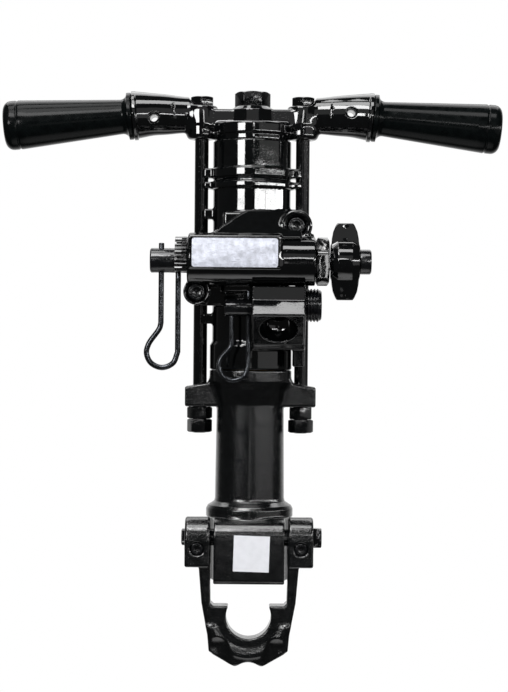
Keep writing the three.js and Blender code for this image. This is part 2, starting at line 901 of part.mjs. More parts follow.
// Ratchet housing with the ratchet ring inside it
function ratchetParts() {
  const flangeBottom = housingBottom + housingFlangeLift;
  const flangeUpper = flangeBottom + housingFlangeHeight;
  const shelf = housingBottom + ratchetRingHeight + seatGap;
  const shell = turnedRing([
    [ratchetRingRadius + seatGap, housingBottom],
    [housingRadius, housingBottom],
    [housingRadius, flangeBottom],
    [housingFlangeRadius, flangeBottom + edgeBreak],
    [housingFlangeRadius, flangeUpper - edgeBreak],
    [housingRadius, flangeUpper],
    [housingRadius, housingTop],
    [spigotRadius + seatGap, housingTop],
    [spigotRadius + seatGap, shelf],
    [ratchetRingRadius + seatGap, shelf],
  ]);
  const ear = cut(
    boltEar(flangeBottom, housingFlangeHeight),
    boltHole(flangeBottom - overrun, flangeUpper + overrun),
    rod(ratchetRingRadius + seatGap, flangeBottom - overrun, flangeUpper + overrun, largeFaces),
  );
  piece('ratchet_housing', join(shell, bothSides(ear)), paint);

  const toothAngle = 2 * Math.PI / ratchetTeeth;
  const teeth = Array.from({ length: ratchetTeeth }, (_, k) => [
    [ratchetTipRadius, k * toothAngle],
    [ratchetRootRadius, (k + ratchetSlopeShare) * toothAngle],
  ]).flat();
  const ring = new THREE.Shape().absarc(0, 0, ratchetRingRadius, 0, 2 * Math.PI);
  ring.holes.push(polarShape(teeth));
  const ringHeight = ratchetRingHeight - seatGap;
  piece('ratchet_ring', planSlab(ring, housingBottom + seatGap, ringHeight, 0, largeFaces / 2), hardSteel);
}

// Rifle bar with its ribs and the pawls in its head
function ribbedOutline(inner, outer, count, outerShare) {
  const pitch = 2 * Math.PI / count;
  const half = pitch * outerShare / 2;
  return Array.from({ length: count }, (_, k) => [
    [inner, k * pitch - half],
    [outer, k * pitch - half],
    [outer, k * pitch + half],
    [inner, k * pitch + half],
  ]).flat();
}

function capsule(gap) {
  const pivot = pawlPivotRadius + gap;
  const tip = pawlTipRadius + gap;
  return new THREE.Shape()
    .absarc(0, 0, pivot, Math.PI / 2, -Math.PI / 2)
    .absarc(pawlLength, 0, tip, -Math.PI / 2, Math.PI / 2);
}

function pawlSlab(index, bottom, height, gap) {
  return planSlab(capsule(gap), bottom, height, 0, filletFaces)
    .rotateZ(pawlLean)
    .translate(pawlPivotOffset, 0, 0)
    .rotateZ(2 * Math.PI * index / pawlCount);
}

function rifleParts() {
  const headBottom = housingBottom + seatGap;
  const headTop = housingBottom + ratchetRingHeight;
  const barBottom = headBottom - rifleBarLength;
  const ribs = twisted(
    ribbedOutline(rifleCoreRadius, rifleRibRadius, rifleRibs, rifleRibShare),
    barBottom,
    headBottom + edgeBreak,
    rifleLead,
  );
  const pockets = Array.from({ length: pawlCount }, (_, k) =>
    pawlSlab(k, headBottom - overrun, headTop - headBottom + 2 * overrun, pawlPocketGap));
  const bar = cut(
    join(ribs, rod(rifleHeadRadius, headBottom, headTop, mediumFaces, edgeBreak)),
    rod(waterTubeHole, barBottom - overrun, headTop + overrun, smallFaces),
    ...pockets,
  );
  piece('rifle_bar', bar, hardSteel);
  for (let k = 0; k < pawlCount; k += 1) {
    piece(`pawl_${k + 1}`, pawlSlab(k, headBottom, headTop - headBottom, 0), steel);
  }
}

// Valve chest, valve and valve guide in the top of the cylinder
function valveParts() {
  const outer = valvePocketRadius - seatGap;
  const chestBottom = valveShoulder + seatGap;
  const chestUpper = chestBottom + valveChestHeight;
  const recess = chestUpper - valveRecessDepth;
  piece('valve_chest', turnedRing([
    [valveBore, chestBottom],
    [outer, chestBottom],
    [outer, chestUpper],
    [valveRecessRadius, chestUpper],
    [valveRecessRadius, recess],
    [valveBore, recess],
  ], mediumFaces), steel);
  const valveBottom = recess + seatGap;
  const valveTop = valveBottom + valveThickness;
  piece('valve', sleeve(valveOuterRadius, valveInnerRadius, valveBottom, valveTop), bronze);
  const guideLower = chestUpper + seatGap;
  piece('valve_guide', sleeve(outer, valveBore, guideLower, guideLower + valveGuideHeight), steel);
}

// Cylinder with ears, pad, screw lugs and the inlet and exhaust chest
function chestOutline() {
  const bottom = chestTop - chestHeight;
  return outline([
    [-chestBack, chestTop],
    [-chestTopDepth, chestTop, chestRound],
    [-chestBrowDepth, chestTop - chestBrowDrop, chestRound],
    [-chestNoseDepth, chestTop - chestNoseDrop, chestRound],
    [-chestFootDepth, bottom + chestFootRise],
    [-chestFootDepth, bottom],
    [-chestBack, bottom],
  ]);
}

function exhaustTools() {
  const nose = new THREE.Vector2(-chestNoseDepth, chestTop - chestNoseDrop);
  const foot = new THREE.Vector2(-chestFootDepth, chestTop - chestHeight + chestFootRise);
  const centre = nose.clone().add(foot).divideScalar(2);
  const along = foot.clone().sub(nose).normalize();
  const tilt = Math.atan2(along.y, along.x);
  const middle = chestLeft + chestWidth / 2;
  const place = (geometry) => geometry.rotateX(tilt).translate(middle, centre.x, centre.y);
  return [
    place(rod(exhaustRadius, -overrun, exhaustDepth, mediumFaces)),
    place(rod(exhaustThroatRadius, 0, exhaustThroatDepth, mediumFaces)),
    place(rod(exhaustPortRadius, 0, chestNoseDepth, smallFaces)),
  ];
}

function screwLug(x, z, radius) {
  const arm = outline([
    [Math.sign(x) * lugRootOffset, z - radius],
    [x, z - radius],
    [x, z + radius],
    [Math.sign(x) * lugRootOffset, z + radius],
  ]);
  const thickness = bossBackDepth - seatGap - lugBackDepth;
  return join(
    frontSlab(arm, -lugBackDepth, thickness, 0),
    towardFront(rod(radius, lugBackDepth, lugBackDepth + thickness, mediumFaces), x, z),
  );
}

const screwPlaces = [
  { name: 'upper', x: upperBossX, z: barrelHeight + upperBossLift, radius: upperBossRadius },
  { name: 'lower', x: -lowerBossX, z: barrelHeight - lowerBossDrop, radius: lowerBossRadius },
];

function cylinderBody() {
  const flangeUpper = cylinderTop - cylinderFlangeDrop;
  const flangeLower = flangeUpper - cylinderFlangeHeight;
  const shell = turned([
    [0, cylinderBottom],
    [waistRadius - edgeBreak, cylinderBottom],
    [waistRadius, cylinderBottom + edgeBreak],
    [waistRadius, cylinderBottom + waistHeight - waistChamfer],
    [cylinderRadius, cylinderBottom + waistHeight],
    [cylinderRadius, flangeLower - edgeBreak],
    [cylinderFlangeRadius, flangeLower],
    [cylinderFlangeRadius, flangeUpper - edgeBreak],
    [cylinderRadius, flangeUpper],
    [cylinderRadius, cylinderTop],
    [0, cylinderTop],
  ]);
  const bands = [
    [flangeLower, cylinderFlangeHeight],
    [cylinderTop - upperEarDrop, earBandHeight],
    [cylinderBottom + lowerEarLift, earBandHeight],
  ];
  const ears = bands.map(([bottom, height]) => bothSides(
    cut(boltEar(bottom, height), boltHole(bottom - overrun, bottom + height + overrun))));
  const pad = block(
    2 * padHalfWidth, padFront, padHeight, 0, -padFront / 2, padTop - padHeight / 2);
  const chest = sideSlab(chestOutline(), chestLeft, chestWidth, chestEdge, filletFaces);
  const tail = block(
    tailWidth, tailDepth - chestBack, tailHeight + chestEdge,
    chestLeft + chestWidth - tailWidth / 2, -(tailDepth + chestBack) / 2,
    chestTop - chestHeight + chestEdge - tailHeight / 2);
  const lugs = screwPlaces.map(({ x, z, radius }) => screwLug(x, z, radius));
  const body = join(shell, ...ears, pad, chest, tail, ...lugs);
  const socketSeat = chestLeft - overrun;
  return cut(
    body,
    rod(cylinderBore, pistonSeat, cylinderTop, largeFaces),
    rod(cylinderBore, cylinderBottom - overrun, guideTop + seatGap, largeFaces),
    rod(cylinderFloorBore, guideTop, pistonSeat + overrun, mediumFaces),
    rod(valvePocketRadius, valveShoulder, cylinderTop + overrun, largeFaces),
    ...exhaustTools(),
    ...screwPlaces.map(({ x, z }) => towardFront(
      rod(screwHoleRadius, bossFaceDepth - screwLength - seatGap, bossBackDepth, smallFaces), x, z)),
    alongX(rod(nippleTailRadius + seatGap, chestLeft + chestWidth - nippleTailLength - seatGap,
      chestLeft + chestWidth + overrun, mediumFaces), -nippleDepth, chestTop - nippleDrop),
    alongX(rod(lowerSocketTailRadius + seatGap, socketSeat, chestLeft + lowerSocketTailLength + seatGap,
      smallFaces), -nippleDepth, chestTop - lowerSocketDrop),
  );
}

function chestFittings() {
  const right = chestLeft + chestWidth;
  const nippleStart = right + seatGap;
  piece('air_nipple', alongX(turnedRing([
    [nippleBore, right - nippleTailLength],
    [nippleTailRadius, right - nippleTailLength],
    [nippleTailRadius, nippleStart],
    [nippleRadius, nippleStart],
    [nippleRadius, nippleStart + nippleLength - nippleChamfer],
    [nippleRadius - nippleChamfer, nippleStart + nippleLength],
    [nippleBore, nippleStart + nippleLength],
  ], mediumFaces), -nippleDepth, chestTop - nippleDrop), blackSteel);

  const seat = chestLeft - seatGap;
  const end = seat - lowerSocketLength;
  const pinX = seat - shortPinInset;
  const height = chestTop - lowerSocketDrop;
  const socket = join(
    rod(lowerSocketRadius, end, seat, mediumFaces, socketChamfer, 0),
    rod(lowerSocketTailRadius, seat - socketChamfer, chestLeft + lowerSocketTailLength, smallFaces),
  );
  const hollow = cut(socket, rod(lowerSocketBore, end - overrun, end + lowerSocketBoreDepth, smallFaces));
  const placed = alongX(geometryOf(hollow), -nippleDepth, height);
  const holeRadius = shortWireRadius + clipHoleGap;
  const holeFoot = -lowerSocketRadius - overrun;
  const hole = rod(holeRadius, holeFoot, lowerSocketRadius + overrun, smallFaces);
  const legHole = rod(holeRadius, holeFoot, -lowerSocketBore, smallFaces);
  piece('lower_socket', cut(
    placed,
    hole.translate(pinX, -nippleDepth, height),
    legHole.translate(pinX - shortSpan, -nippleDepth, height),
  ), blackSteel);
}

// Control block: barrel, flat face, gusset and two screw bosses
function controlBlock() {
  const top = barrelHeight + blockTopLift;
  const bottom = barrelHeight - blockBottomDrop;
  const round = alongX(rod(barrelRadius, -barrelHalfLength, barrelHalfLength, largeFaces, blockEdge),
    -barrelDepth, barrelHeight);
  const barrel = cut(round, block(2 * barrelHalfLength + overrun, barrelRadius, 2 * barrelRadius + overrun,
    0, barrelRadius / 2 - blockBack, barrelHeight));
  const rear = sideSlab(outline([
    [-barrelDepth, bottom],
    [-barrelDepth, top, blockRound],
    [-blockBack, top],
    [-blockBack, bottom],
  ]), -blockHalfWidth, 2 * blockHalfWidth, blockEdge);
  const face = sideSlab(outline([
    [-faceDepth, barrelHeight - faceBottomDrop, blockRound],
    [-faceDepth, barrelHeight + faceTopLift, blockRound],
    [-blockBack - blockEdge, top],
    [-blockBack - blockEdge, barrelHeight - faceBottomDrop],
  ]), -blockHalfWidth, blockHalfWidth + faceRight, blockEdge);
  const gussetSide = sideSlab(outline([
    [-gussetFootDepth, barrelHeight + faceTopLift - blockEdge],
    [-gussetTopDepth, barrelHeight + gussetTopLift, blockRound],
    [-blockBack, barrelHeight + gussetTopLift],
    [-blockBack, barrelHeight + faceTopLift - blockEdge],
  ]), -gussetLeft - overrun, gussetLeft + gussetRight + 2 * overrun, 0);
  const gussetFront = frontSlab(outline([
    [-gussetLeft, barrelHeight],
    [-gussetLeft, barrelHeight + faceTopLift + blockEdge],
    [-gussetCrownLeft, barrelHeight + gussetTopLift, gussetRound],
    [gussetRight, barrelHeight + gussetTopLift, gussetRound],
    [gussetRight, barrelHeight],
  ]), -blockBack, faceDepth, 0);
  const bosses = screwPlaces.map(({ x, z, radius }) =>
    towardFront(rod(radius, bossBackDepth, bossFaceDepth, mediumFaces, 0, blockEdge), x, z));
  const body = join(barrel, rear, face, common(gussetSide, gussetFront), ...bosses);
  const glandSeat = barrelHalfLength - glandTailLength - seatGap;
  const spindleEnd = glandSeat - spindleLength - 2 * seatGap;
  const headSeat = bossFaceDepth - screwSink - screwHeadHeight - seatGap;
  const screwTools = screwPlaces.flatMap(({ x, z }) => [
    towardFront(rod(screwHoleRadius, bossBackDepth - overrun, bossFaceDepth, smallFaces), x, z),
    towardFront(rod(counterboreRadius, headSeat, bossFaceDepth + overrun), x, z),
  ]);
  const onBarrel = (geometry) => alongX(geometry, -barrelDepth, barrelHeight);
  return cut(
    body,
    ...screwTools,
    onBarrel(rod(spindleRadius + runGap, spindleEnd, barrelHalfLength)),
    onBarrel(rod(glandTailRadius + seatGap, glandSeat, barrelHalfLength + overrun)),
    onBarrel(rod(portTailRadius + seatGap, -barrelHalfLength - overrun,
      portTailLength + seatGap - barrelHalfLength, smallFaces)),
  );
}

function capScrew({ x, z }) {
  const headTop = bossFaceDepth - screwSink;
  const headBottom = headTop - screwHeadHeight;
  const screw = cut(
    join(
      rod(screwHeadRadius, headBottom, headTop, mediumFaces, 0, edgeBreak),
      rod(screwShankRadius, bossFaceDepth - screwLength, headBottom + edgeBreak, smallFaces),
    ),
    hexBar(screwSocketFlats, headTop - screwSocketDepth, headTop + overrun),
  );
  return towardFront(geometryOf(screw), x, z);
}

function namePlate() {
  const right = plateWidth - plateLeft;
  const top = barrelHeight + faceTopLift - plateTopGap;
  const plate = outline([
    [-plateLeft, top - plateHeight, plateCorner],
    [right, top - plateHeight, plateCorner],
    [right, top, plateCorner],
    [-plateLeft, top, plateCorner],
  ]);
  return frontSlab(plate, -faceDepth - seatGap, plateThickness, 0);
}

// Left end of the control block
function leftEnd() {
  const onBarrel = (geometry) => alongX(geometry, -barrelDepth, barrelHeight);
  const seat = barrelHalfLength + seatGap;
  const teeth = Array.from({ length: 2 * serrationCount }, (_, k) => [
    collarRingRadius - (k % 2) * serrationDepth,
    Math.PI * k / serrationCount,
  ]);
  const ring = onBarrel(planSlab(polarShape(teeth), -seat - collarRingWidth, collarRingWidth, 0));
  piece('serrated_collar', cut(
    ring,
    onBarrel(rod(portSocketRadius + seatGap, -seat - collarRingWidth - overrun, overrun - seat)),
    block(collarRingWidth + 2 * overrun, 2 * collarRingRadius + overrun, collarRingRadius,
      -seat - collarRingWidth / 2, -barrelDepth, barrelHeight - collarRingDrop - collarRingRadius / 2),
  ), paint);

  const end = -seat - portSocketLength;
  const socket = join(
    rod(portSocketRadius, end, -seat, mediumFaces, socketChamfer, 0),
    rod(portTailRadius, -seat - socketChamfer, portTailLength - barrelHalfLength, smallFaces),
  );
  const hollow = cut(socket, rod(portBore, end - overrun, end + portBoreDepth, smallFaces));
  const hole = (from, to) => rod(clipWireRadius + clipHoleGap, from, to, smallFaces);
  piece('port_socket', cut(
    onBarrel(geometryOf(hollow)),
    hole(-portSocketRadius - overrun, portSocketRadius + overrun)
      .translate(end + clipPinInset, -barrelDepth, barrelHeight),
    hole(-portSocketRadius - overrun, -clipLegTop + seatGap + clipWireRadius)
      .translate(end + clipPinInset + clipSpan, -barrelDepth, barrelHeight),
  ), blackSteel);
}

// Right end: gland nut on the barrel, then the spindle with its knob and end nut
function rightEnd() {
  const onBarrel = (geometry) => alongX(geometry, -barrelDepth, barrelHeight);
  const seat = barrelHalfLength + seatGap;
  const glandEnd = seat + glandWidth;
  const tailStart = barrelHalfLength - glandTailLength;
  const gland = cut(
    join(
      hexNut(glandFlats, seat, glandEnd, glandChamfer, glandTurn),
      rod(glandTailRadius, tailStart, seat + glandChamfer),
    ),
    rod(stemRadius + runGap, tailStart - overrun, glandEnd + overrun),
  );
  piece('gland_nut', onBarrel(geometryOf(gland)), blackSteel);

  const bodyEnd = tailStart - seatGap - seatGap;
  const bodyStart = bodyEnd - spindleLength;
  const knobStart = glandEnd + knobGap;
  const knobEnd = knobStart + knobWidth;
  const spindle = cut(
    join(
      rod(spindleRadius, bodyStart, bodyEnd, mediumFaces, edgeBreak),
      rod(stemRadius, bodyEnd - edgeBreak, knobEnd, smallFaces),
    ),
    throughDepth(spindlePortRadius, spindleRadius + overrun, 0, bodyStart + spindlePortPlace, smallFaces),
  );
  piece('throttle_spindle', onBarrel(geometryOf(spindle)), steel);

  const nutStart = knobEnd + seatGap;
  piece('throttle_end_nut', onBarrel(turned([
    [0, nutStart],
    [endNutRadius, nutStart],
    [endNutRadius, nutStart + endNutLength - endNutChamfer],
    [endNutRadius - endNutChamfer, nutStart + endNutLength],
    [endNutBore, nutStart + endNutLength],
    [endNutBore, nutStart + endNutLength - endNutChamfer],
    [0, nutStart + endNutLength - endNutChamfer],
  ])), blackSteel);
  piece('throttle_knob', knob(knobStart, knobEnd), roughPaint);
}

function knob(start, end) {
  const middle = (start + end) / 2;
  const half = knobWidth / 2;
  const lobe = knobOutlineShares.map(([out, up]) => [half * out, knobHalfSpan * up]);
  const wing = outline(mirrorCorners([
    [knobTipWidth / 2, -knobHalfSpan, knobTipRound],
    ...lobe.map(([x, z]) => [x, -z]),
    ...lobe.slice(0, -1).reverse(),
    [knobTipWidth / 2, knobHalfSpan, knobTipRound],
  ]));
  const front = frontSlab(wing, knobRootHalfThickness, 2 * knobRootHalfThickness, 0)
    .translate(middle, 0, 0);
  const taper = sideSlab(outline(mirrorCorners([
    [knobTipHalfThickness, -knobHalfSpan - overrun],
    [knobRootHalfThickness, 0],
    [knobTipHalfThickness, knobHalfSpan + overrun],
  ])), start - overrun, knobWidth + 2 * overrun, 0);
  const hub = turned([
    [0, start],
    [knobHubEndRadius, start],
    [knobHubRadius, start + half / 2],
    [knobHubRadius, end - half / 2],
    [knobHubEndRadius, end],
    [0, end],
  ]).rotateY(Math.PI / 2);
  const bored = cut(
    join(common(front, taper), hub),
    rod(stemRadius + seatGap, start - overrun, end + overrun, smallFaces).rotateY(Math.PI / 2),
  );
  return geometryOf(bored).translate(0, -barrelDepth, barrelHeight);
}

// A wire clip in the plane y = depth. The loop lies on the far side of the straight
// leg, which meets it as a tangent; the other leg leaves the loop through a kink.
function wireClip(clip) {
  const { kinkX, kinkTop, kinkFoot, straightX, straightTop, loopX, loopZ, radius, wire, depth } = clip;
  const side = Math.sign(straightX - kinkX);
  const [kinkOut, kinkDown] = clipKinkShares;
  const point = (x, z) => new THREE.Vector3(x, depth, z);
  const onLoop = (degrees) => {
    const angle = THREE.MathUtils.degToRad(degrees);
    return point(loopX + side * radius * Math.cos(angle), loopZ + radius * Math.sin(angle));
  };
  const path = new THREE.CurvePath();
  path.add(new THREE.LineCurve3(point(kinkX, kinkTop), point(kinkX, kinkFoot)));
  path.add(new THREE.CatmullRomCurve3([
    point(kinkX, kinkFoot),
    point(kinkX - side * wire * kinkOut, kinkFoot - wire * kinkDown),
    ...clipLoopAngles.map(onLoop),
    point(straightX, loopZ),
  ]));
  path.add(new THREE.LineCurve3(point(straightX, loopZ), point(straightX, straightTop)));
  const spread = Array.from({ length: clipFaces }, (_, k) => [wire, 2 * Math.PI * k / clipFaces]);
  const section = polarShape(spread);
  return new THREE.ExtrudeGeometry(section, { steps: clipSteps, extrudePath: path, bevelEnabled: false });
}

function clips() {
  const pinX = clipPinInset - barrelHalfLength - seatGap - portSocketLength;
  piece('clip_left', wireClip({
    kinkX: pinX,
    kinkTop: barrelHeight + clipPinProud,
    kinkFoot: barrelHeight - clipKinkDrop,
    straightX: pinX + clipSpan,
    straightTop: barrelHeight - clipLegTop,
    loopX: pinX + clipSpan - clipLoopRadius,
    loopZ: barrelHeight - clipLoopDrop,
    radius: clipLoopRadius,
    wire: clipWireRadius,
    depth: -barrelDepth,
  }), springSteel);
  const shortX = chestLeft - seatGap - shortPinInset;
  const socketHeight = chestTop - lowerSocketDrop;
  piece('clip_lower', wireClip({
    kinkX: shortX - shortSpan,
    kinkTop: socketHeight - shortLegTop,
    kinkFoot: socketHeight - shortKinkDrop,
    straightX: shortX,
    straightTop: socketHeight + shortPinProud,
    loopX: shortX - shortLoopRadius,
    loopZ: socketHeight - shortLoopDrop,
    radius: shortLoopRadius,
    wire: shortWireRadius,
    depth: -nippleDepth,
  }), springSteel);
}

// Front head: shoulder, lugs, tube, flare, collar and the nose with its bores
function lugOutline() {
  const top = lugBottom + lugSideHeight;
  const crown = top + lugCrownLift;
  return outline(mirrorCorners([
    [lugHalfWidth, lugBottom, lugCorner],
    [lugHalfWidth, top, lugCorner],
    [lugCrownOffset, crown, lugCorner],
    [tubeTopRadius, frontHeadLength - lugEdge],
  ]));
}

function frontHead() {
  const shoulderFoot = frontHeadLength - shoulderHeight;
  const blendFoot = shoulderFoot - shoulderBlend;
  const flare = flareShares.map(([out, up]) => [
    tubeBottomRadius + (collarRadius - tubeBottomRadius) * out,
    collarTop + flareHeight * up,
  ]);
  const [shoulderOut, shoulderUp] = shoulderShares;
  const shoulder = [
    tubeTopRadius + (shoulderRadius - tubeTopRadius) * shoulderOut,
    blendFoot + shoulderBlend * shoulderUp,
  ];
  const shell = turned([
    [0, 0],
    [noseBodyRadius - noseEdge, 0],
    [noseBodyRadius, noseEdge],
    [noseBodyRadius, collarBottom],
    [collarRadius - collarEdge, collarBottom],
    [collarRadius, collarBottom + collarEdge],
    [collarRadius, collarTop],
    ...flare,
    [tubeBottomRadius, flareTop],
    [tubeTopRadius, blendFoot],
    shoulder,
    [shoulderRadius, shoulderFoot],
    [shoulderRadius, frontHeadLength - edgeBreak],
    [shoulderRadius - edgeBreak, frontHeadLength],
    [0, frontHeadLength],
  ]);
  const lugs = frontSlab(lugOutline(), lugHalfDepth, 2 * lugHalfDepth, lugEdge);
  const noseFront = hingeDepth + noseBarrelRadius;
  const nose = sideSlab(outline([
    [-noseFront, 0, noseFootRound],
    [-noseFront, noseTop, noseBarrelRadius],
    [0, noseTop],
    [0, 0],
  ]), -noseHalfWidth, 2 * noseHalfWidth, noseEdge, 2 * filletFaces);
  return cut(
    join(shell, lugs, nose),
    boltHole(lugBottom - overrun, frontHeadLength),
    boltHole(lugBottom - overrun, frontHeadLength).translate(-2 * boltOffset, 0, 0),
    rod(mouthRadius, -overrun, mouthLip + overrun),
    rod(chuckBore, mouthLip, chuckBoreTop + overrun),
    rod(headBore, chuckBoreTop, frontHeadLength),
    rod(cylinderBore, frontHeadLength - guidePocketDepth, frontHeadLength + overrun, largeFaces),
    alongX(
      rod(hingePinHoleRadius, -noseHalfWidth - overrun, noseHalfWidth + overrun),
      -hingeDepth,
      hingeHeight,
    ),
  );
}

// Retainer yoke, drawn in the front view from the hinge down
function yokeFrame() {
  const place = (drop) => hingeHeight - drop;
  const outer = outline(mirrorCorners([
    [yokeToeOffset, place(yokeBottomDrop), yokeToeCorner],
    [yokeFootHalfWidth, place(yokeFootDrop), yokeToeCorner],
    [armOuterLow, place(yokeLowDrop)],
    [armOuterMiddle, place(yokeMiddleDrop)],
    [armOuterTop, place(yokeBossDrop)],
    [armOuterTop, place(0)],
  ]));
  const stepPlace = place(yokeStepDrop);
  const opening = outline(mirrorCorners([
    [yokeInnerWaist, stepPlace, yokeStepCorner],
    [yokeBossInner, place(yokeBossDrop)],
    [yokeBossInner, place(-yokeBossRadius)],
  ]));
  const frame = frontSlab(outer, yokeHalfThickness - hingeDepth, 2 * yokeHalfThickness, yokeEdge);
  const through = 2 * yokeHalfThickness + 2 * overrun;
  return cut(
    frame,
    frontSlab(opening, overrun + yokeHalfThickness - hingeDepth, through, 0),
    throughDepth(yokeWindowRadius, faceDepth, 0, place(yokeWindowDrop), mediumFaces),
  );
}

function yokeFork() {
  const top = hingeHeight - forkTopDrop;
  const foot = hingeHeight - yokeFootDrop;
  const bottom = hingeHeight - yokeBottomDrop;
  const front = hingeDepth + yokeHalfThickness - yokeEdge;
  const plan = planSlab(outline(mirrorCorners([
    [forkHalfWidth, -front, yokeToeCorner],
    [forkHalfWidth, -hingeDepth + yokeHalfThickness],
    [forkNotchRadius + yokeToeOffset, forkBack, yokeToeCorner],
    [forkNotchRadius, forkBack],
  ])), bottom, top - bottom, 0);
  const profile = frontSlab(outline(mirrorCorners([
    [yokeToeOffset, bottom, yokeToeCorner],
    [yokeFootHalfWidth, foot, yokeToeCorner],
    [yokeFootHalfWidth, top],
  ])), forkBack, front + forkBack, 0);
  return cut(
    common(plan, profile),
    rod(forkNotchRadius, bottom - overrun, top + overrun),
    block(2 * forkNotchRadius, forkBack + overrun, top - bottom + 2 * overrun,
      0, (forkBack + overrun) / 2, (top + bottom) / 2),
  );
}

function yoke() {
  const bossWidth = yokeBossOuter - yokeBossInner;
  const barrel = alongX(rod(yokeBossRadius, yokeBossInner, yokeBossOuter, mediumFaces, 0, yokeEdge),
    -hingeDepth, hingeHeight);
  const cheek = sideSlab(outline([
    [-hingeDepth - yokeBossRadius, hingeHeight - yokeBossDrop, yokeBossCorner],
    [yokeBossRadius - hingeDepth, hingeHeight - yokeBossDrop, yokeBossCorner],
    [yokeBossRadius - hingeDepth, hingeHeight],
    [-hingeDepth - yokeBossRadius, hingeHeight],
  ]), yokeBossInner, bossWidth, edgeBreak);
  const boss = join(barrel, cheek);
  const face = hingeDepth + yokeBossRadius;
  const grubHoles = [grubOffset, -grubOffset].map((x) => towardFront(
    rod(grubHoleRadius, face - grubSink - grubLength - seatGap, face + overrun, smallFaces),
    x, hingeHeight - grubDrop));
  const pinReach = yokeBossOuter + overrun;
  const toeNotch = throughDepth(
    toeNotchRadius, faceDepth, 0, hingeHeight - yokeBottomDrop - toeNotchRadius + toeNotchDepth, smallFaces);
  return cut(
    join(boss, mirrored(boss), yokeFrame(), yokeFork()),
    toeNotch,
    ...grubHoles,
    alongX(rod(hingePinHoleRadius, -pinReach, pinReach), -hingeDepth, hingeHeight),
  );
}

function hingeParts() {
  const headStart = yokeBossOuter + seatGap;
  const pin = join(
    rod(hingePinRadius, -yokeBossOuter - hingePinProud, headStart + edgeBreak, mediumFaces, hingePinEdge, 0),
    hexNut(hingeHeadFlats, headStart, headStart + hingeHeadHeight, hingePinEdge),
  );
  piece('hinge_pin', alongX(geometryOf(pin), -hingeDepth, hingeHeight), blackSteel);
  const face = hingeDepth + yokeBossRadius - grubSink;
  const grub = cut(
    rod(grubRadius, face - grubLength, face, smallFaces, edgeBreak),
    hexBar(grubSocketFlats, face - grubSocketDepth, face + overrun),
  );
  for (const [side, name] of [[1, 'right'], [-1, 'left']]) {
    const placed = towardFront(geometryOf(grub), side * grubOffset, hingeHeight - grubDrop);
    piece(`grub_screw_${name}`, placed, blackSteel);
  }
}

// Chuck with its hexagonal bushing and splined nut
function chuckParts() {
  const bottom = mouthLip + seatGap;
  const shoulder = chuckBoreTop + seatGap;
  const top = bottom + chuckLength;
  const bushingTop = bottom + bushingLength;
  piece('chuck', turnedRing([
    [bushingRadius + seatGap, bottom],
    [chuckRadius, bottom],
    [chuckRadius, shoulder],
    [chuckHeadRadius, shoulder],
    [chuckHeadRadius, top],
    [chuckInnerRadius, top],
  ], mediumFaces), steel);
  piece('chuck_bushing', cut(
    rod(bushingRadius, bottom, bushingTop),
    hexBar(steelFlats, bottom - overrun, bushingTop + overrun),
  ), bronze);
  const keys = ribbedOutline(pistonStemRadius + splineGap, splineTipRadius, splineCount,
    splineWidth * splineCount / (2 * Math.PI * pistonStemRadius));
  const nutBottom = top + seatGap;
  piece('chuck_nut', cut(
    rod(chuckHeadRadius, nutBottom, nutBottom + chuckNutHeight),
    planSlab(polarShape(withArcs(keys)), nutBottom - overrun, chuckNutHeight + 2 * overrun),
  ), bronze);
}

// Piston with its rifle nut
function pistonParts() {
  const headFoot = pistonSeat + seatGap;
  const top = headFoot + pistonHeadLength;
  const bottom = headFoot - pistonStemLength;
  const headRadius = cylinderBore - runGap;
  const grooveTop = top - pistonHeadLength / 2 + pistonGrooveWidth / 2;
  const plain = turned([
    [0, bottom],
    [pistonStemRadius - pistonEdge, bottom],
    [pistonStemRadius, bottom + pistonEdge],
    [pistonStemRadius, headFoot],
    [headRadius - pistonEdge, headFoot],
    [headRadius, headFoot + pistonEdge],
    [headRadius, grooveTop - pistonGrooveWidth],
    [headRadius - pistonGrooveDepth, grooveTop - pistonGrooveWidth],
    [headRadius - pistonGrooveDepth, grooveTop],
    [headRadius, grooveTop],
    [headRadius, top - pistonEdge],
    [headRadius - pistonEdge, top],
    [0, top],
  ], mediumFaces);
  const flutes = Array.from({ length: splineCount }, (_, k) => block(
    pistonStemRadius, splineWidth + 2 * splineGap, fluteLength + overrun,
    splineTipRadius - splineGap + pistonStemRadius / 2, 0, bottom + (fluteLength - overrun) / 2)
    .rotateZ(2 * Math.PI * k / splineCount));
  const nutBottom = top - rifleNutHeight - seatGap;
  piece('piston', cut(
    plain,
    ...flutes,
    rod(waterTubeHole, bottom - overrun, top, smallFaces),
    rod(pistonBore, top - pistonBoreDepth, top),
    rod(rifleNutRadius + seatGap, nutBottom, top + overrun),
  ), steel);
  const keyed = ribbedOutline(rifleRibRadius + rifleGap, rifleCoreRadius + rifleGap, rifleRibs, rifleKeyShare)
    .map(([radius, angle]) => [radius, angle + Math.PI / rifleRibs]);
  piece('rifle_nut', cut(
    rod(rifleNutRadius, nutBottom + seatGap, top - seatGap),
    twisted(withArcs(keyed), nutBottom - overrun, top + overrun, rifleLead),
  ), bronze);
}

function pistonGuide() {
  return sleeve(cylinderBore - seatGap, guideBore, guideBottom, guideBottom + guideHeight, largeFaces);
}

function blankLabel() {
  const half = labelSize / 2;
  const front = hingeDepth + noseBarrelRadius + seatGap;
  return slab(outline([[-half, -half], [half, -half], [half, half], [-half, half]]), labelThickness)
    .rotateZ(labelTurn)
    .rotateX(Math.PI / 2)
    .translate(labelShift, -front, labelHeight);
}

